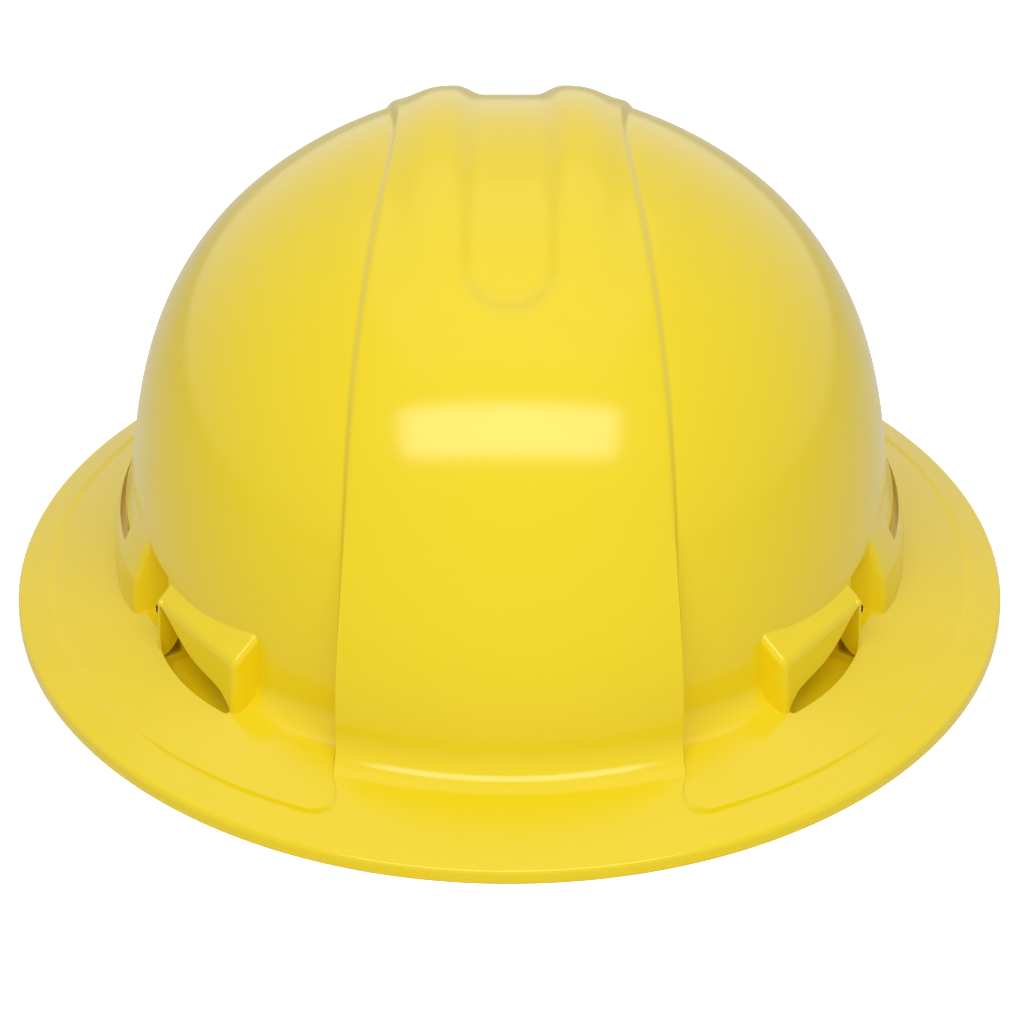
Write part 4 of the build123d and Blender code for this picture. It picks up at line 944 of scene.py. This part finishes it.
def webbing():
    """Black woven webbing: lengthways threads crossed by slanting ones, read from the strap's own map."""
    material, nodes, links, shader = node_material("black_webbing")
    place = nodes.new("ShaderNodeUVMap")
    place.uv_map = "strap"
    threads = bands(nodes, "X", 330.0, 0.4)
    picks = bands(nodes, "DIAGONAL", 250.0, 0.3)
    weave_height_and_shade = nodes.new("ShaderNodeMath")
    weave_height_and_shade.operation = "MULTIPLY"
    # Painted shade: the colour follows the height of the woven threads, darker in the hollows between them and
    # lighter on the raised ones
    ramp = colour_range(nodes, (0.006, 0.006, 0.007), (0.035, 0.035, 0.038))
    bump = relief(nodes, 0.6, 0.0004)
    for texture in (threads, picks):
        links.new(place.outputs["UV"], texture.inputs["Vector"])
    links.new(threads.outputs["Fac"], weave_height_and_shade.inputs[0])
    links.new(picks.outputs["Fac"], weave_height_and_shade.inputs[1])
    links.new(weave_height_and_shade.outputs["Value"], ramp.inputs["Fac"])
    links.new(ramp.outputs["Color"], shader.inputs["Base Color"])
    links.new(weave_height_and_shade.outputs["Value"], bump.inputs["Height"])
    links.new(bump.outputs["Normal"], shader.inputs["Normal"])
    shader.inputs["Roughness"].default_value = 0.78
    shader.inputs["Sheen Weight"].default_value = 0.25
    return material


def pad_cloth():
    """Black terry cloth with short loops, darker in the hollows between them as painted shade."""
    material, nodes, links, shader = node_material("black_terry")
    place = nodes.new("ShaderNodeTexCoord")
    loops = nodes.new("ShaderNodeTexVoronoi")
    loops.inputs["Scale"].default_value = 900.0
    tone = noise(nodes, 160.0, 5.0)
    loop_shade_and_tone = nodes.new("ShaderNodeMath")
    loop_shade_and_tone.operation = "MULTIPLY"
    # Painted shade: darker in the hollows between the loops, multiplied by a random tone
    ramp = colour_range(nodes, (0.03, 0.03, 0.033), (0.008, 0.008, 0.009))
    bump = relief(nodes, 0.8, 0.0006)
    bump.invert = True
    links.new(place.outputs["Object"], loops.inputs["Vector"])
    links.new(place.outputs["Object"], tone.inputs["Vector"])
    links.new(loops.outputs["Distance"], loop_shade_and_tone.inputs[0])
    links.new(tone.outputs["Fac"], loop_shade_and_tone.inputs[1])
    links.new(loop_shade_and_tone.outputs["Value"], ramp.inputs["Fac"])
    links.new(ramp.outputs["Color"], shader.inputs["Base Color"])
    links.new(loops.outputs["Distance"], bump.inputs["Height"])
    links.new(bump.outputs["Normal"], shader.inputs["Normal"])
    shader.inputs["Roughness"].default_value = 0.9
    shader.inputs["Sheen Weight"].default_value = 0.4
    return material


def dress_nodes():
    """Give every CAD node that stays its material."""
    key = moulded_plastic("black_nylon", (0.008, 0.008, 0.009), (0.016, 0.016, 0.017), 0.42, 900.0)
    band = moulded_plastic("grey_polythene", (0.018, 0.018, 0.02), (0.03, 0.03, 0.032), 0.5, 700.0)
    housing = moulded_plastic("black_satin_plastic", (0.01, 0.01, 0.011), (0.018, 0.018, 0.019), 0.38, 1100.0)
    grip = moulded_plastic("black_rubbery_plastic", (0.008, 0.008, 0.008), (0.014, 0.014, 0.014), 0.6, 1400.0)
    steel = screw_steel()
    finishes = {
        "front_left_key": key, "front_right_key": key, "rear_left_key": key, "rear_right_key": key,
        "headband_front": band, "left_headband_arm": band, "right_headband_arm": band,
        "left_rack": band, "right_rack": band, "ratchet_base": band, "ratchet_cover": housing,
        "housing_screws": steel, "pinion": housing, "detent_spring": key, "knob": grip,
        "knob_cap": housing, "knob_screw": steel, "left_rear_hanger": band, "right_rear_hanger": band,
    }
    for name, finish in finishes.items():
        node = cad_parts[name]
        node.data.materials.clear()
        node.data.materials.append(finish)


def place_camera():
    """Camera at the photograph's viewpoint."""
    back = CAMERA_AWAY * math.cos(CAMERA_TILT)
    up = CAMERA_AWAY * math.sin(CAMERA_TILT)
    bpy.ops.object.select_all(action="DESELECT")
    bpy.ops.object.camera_add(location=(0, -back, CAMERA_HEIGHT + up))
    camera = bpy.context.object
    camera.rotation_euler = (math.pi / 2 - CAMERA_TILT, 0, 0)
    camera.data.sensor_width = 36.0
    camera.data.lens = CAMERA_LENS * camera.data.sensor_width / PICTURE
    camera.data.shift_x = 0.5 - CAMERA_CENTRE[0] / PICTURE
    camera.data.shift_y = CAMERA_CENTRE[1] / PICTURE - 0.5
    bpy.context.scene.camera = camera


def soft_light(name, place, aim, width, height, power):
    """A rectangular studio lamp that faces a point."""
    bpy.ops.object.select_all(action="DESELECT")
    bpy.ops.object.light_add(type="AREA", location=place)
    lamp = bpy.context.object
    lamp.name = name
    lamp.data.shape = "RECTANGLE"
    lamp.data.size = width
    lamp.data.size_y = height
    lamp.data.energy = power
    lamp.rotation_euler = (Vector(aim) - Vector(place)).to_track_quat("-Z", "Y").to_euler()


def studio():
    """White surroundings, a pale floor and soft lamps."""
    bpy.context.scene.view_settings.view_transform = "Standard"
    world = bpy.data.worlds.new("studio")
    bpy.context.scene.world = world
    world.use_nodes = True
    nodes, links = world.node_tree.nodes, world.node_tree.links
    shade = nodes["Background"]
    shade.inputs["Color"].default_value = (1, 1, 1, 1)
    path = nodes.new("ShaderNodeLightPath")
    first = nodes.new("ShaderNodeMath")
    first.operation = "ADD"
    seen = nodes.new("ShaderNodeMath")
    seen.operation = "ADD"
    level = value_range(nodes, 0.3, 1.0)
    links.new(path.outputs["Is Camera Ray"], first.inputs[0])
    links.new(path.outputs["Is Glossy Ray"], first.inputs[1])
    links.new(first.outputs["Value"], seen.inputs[0])
    links.new(path.outputs["Is Transmission Ray"], seen.inputs[1])
    links.new(seen.outputs["Value"], level.inputs["Value"])
    links.new(level.outputs["Result"], shade.inputs["Strength"])
    bpy.ops.object.select_all(action="DESELECT")
    bpy.ops.mesh.primitive_plane_add(size=6.0, location=(0, 0, 0))
    floor = bpy.context.object
    floor.name = "floor"
    material, nodes, links, shader = node_material("pale_floor")
    shader.inputs["Base Color"].default_value = (0.86, 0.86, 0.86, 1)
    shader.inputs["Roughness"].default_value = 0.7
    shader.inputs["Specular IOR Level"].default_value = 0.05
    path = nodes.new("ShaderNodeLightPath")
    glow = nodes.new("ShaderNodeMath")
    glow.operation = "MULTIPLY"
    glow.inputs[1].default_value = 0.82
    shader.inputs["Emission Color"].default_value = (1, 1, 1, 1)
    links.new(path.outputs["Is Camera Ray"], glow.inputs[0])
    links.new(glow.outputs["Value"], shader.inputs["Emission Strength"])
    floor.data.materials.append(material)
    soft_light("front_box", (0.0, -0.90, 1.09), (0, 0, 0.09), 1.65, 0.44, 13.0)
    soft_light("top_box", (0.0, 0.35, 1.9), (0, 0, 0.09), 2.2, 2.2, 8.0)


def main():
    """Build the shell, the soft pieces, the materials, the camera and the studio."""
    shell = make_shell()
    shell.data.materials.clear()
    shell.data.materials.append(shell_plastic())
    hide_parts("shell")
    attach(shell, "hat")
    make_suspension()
    dress_nodes()
    place_camera()
    studio()


main()
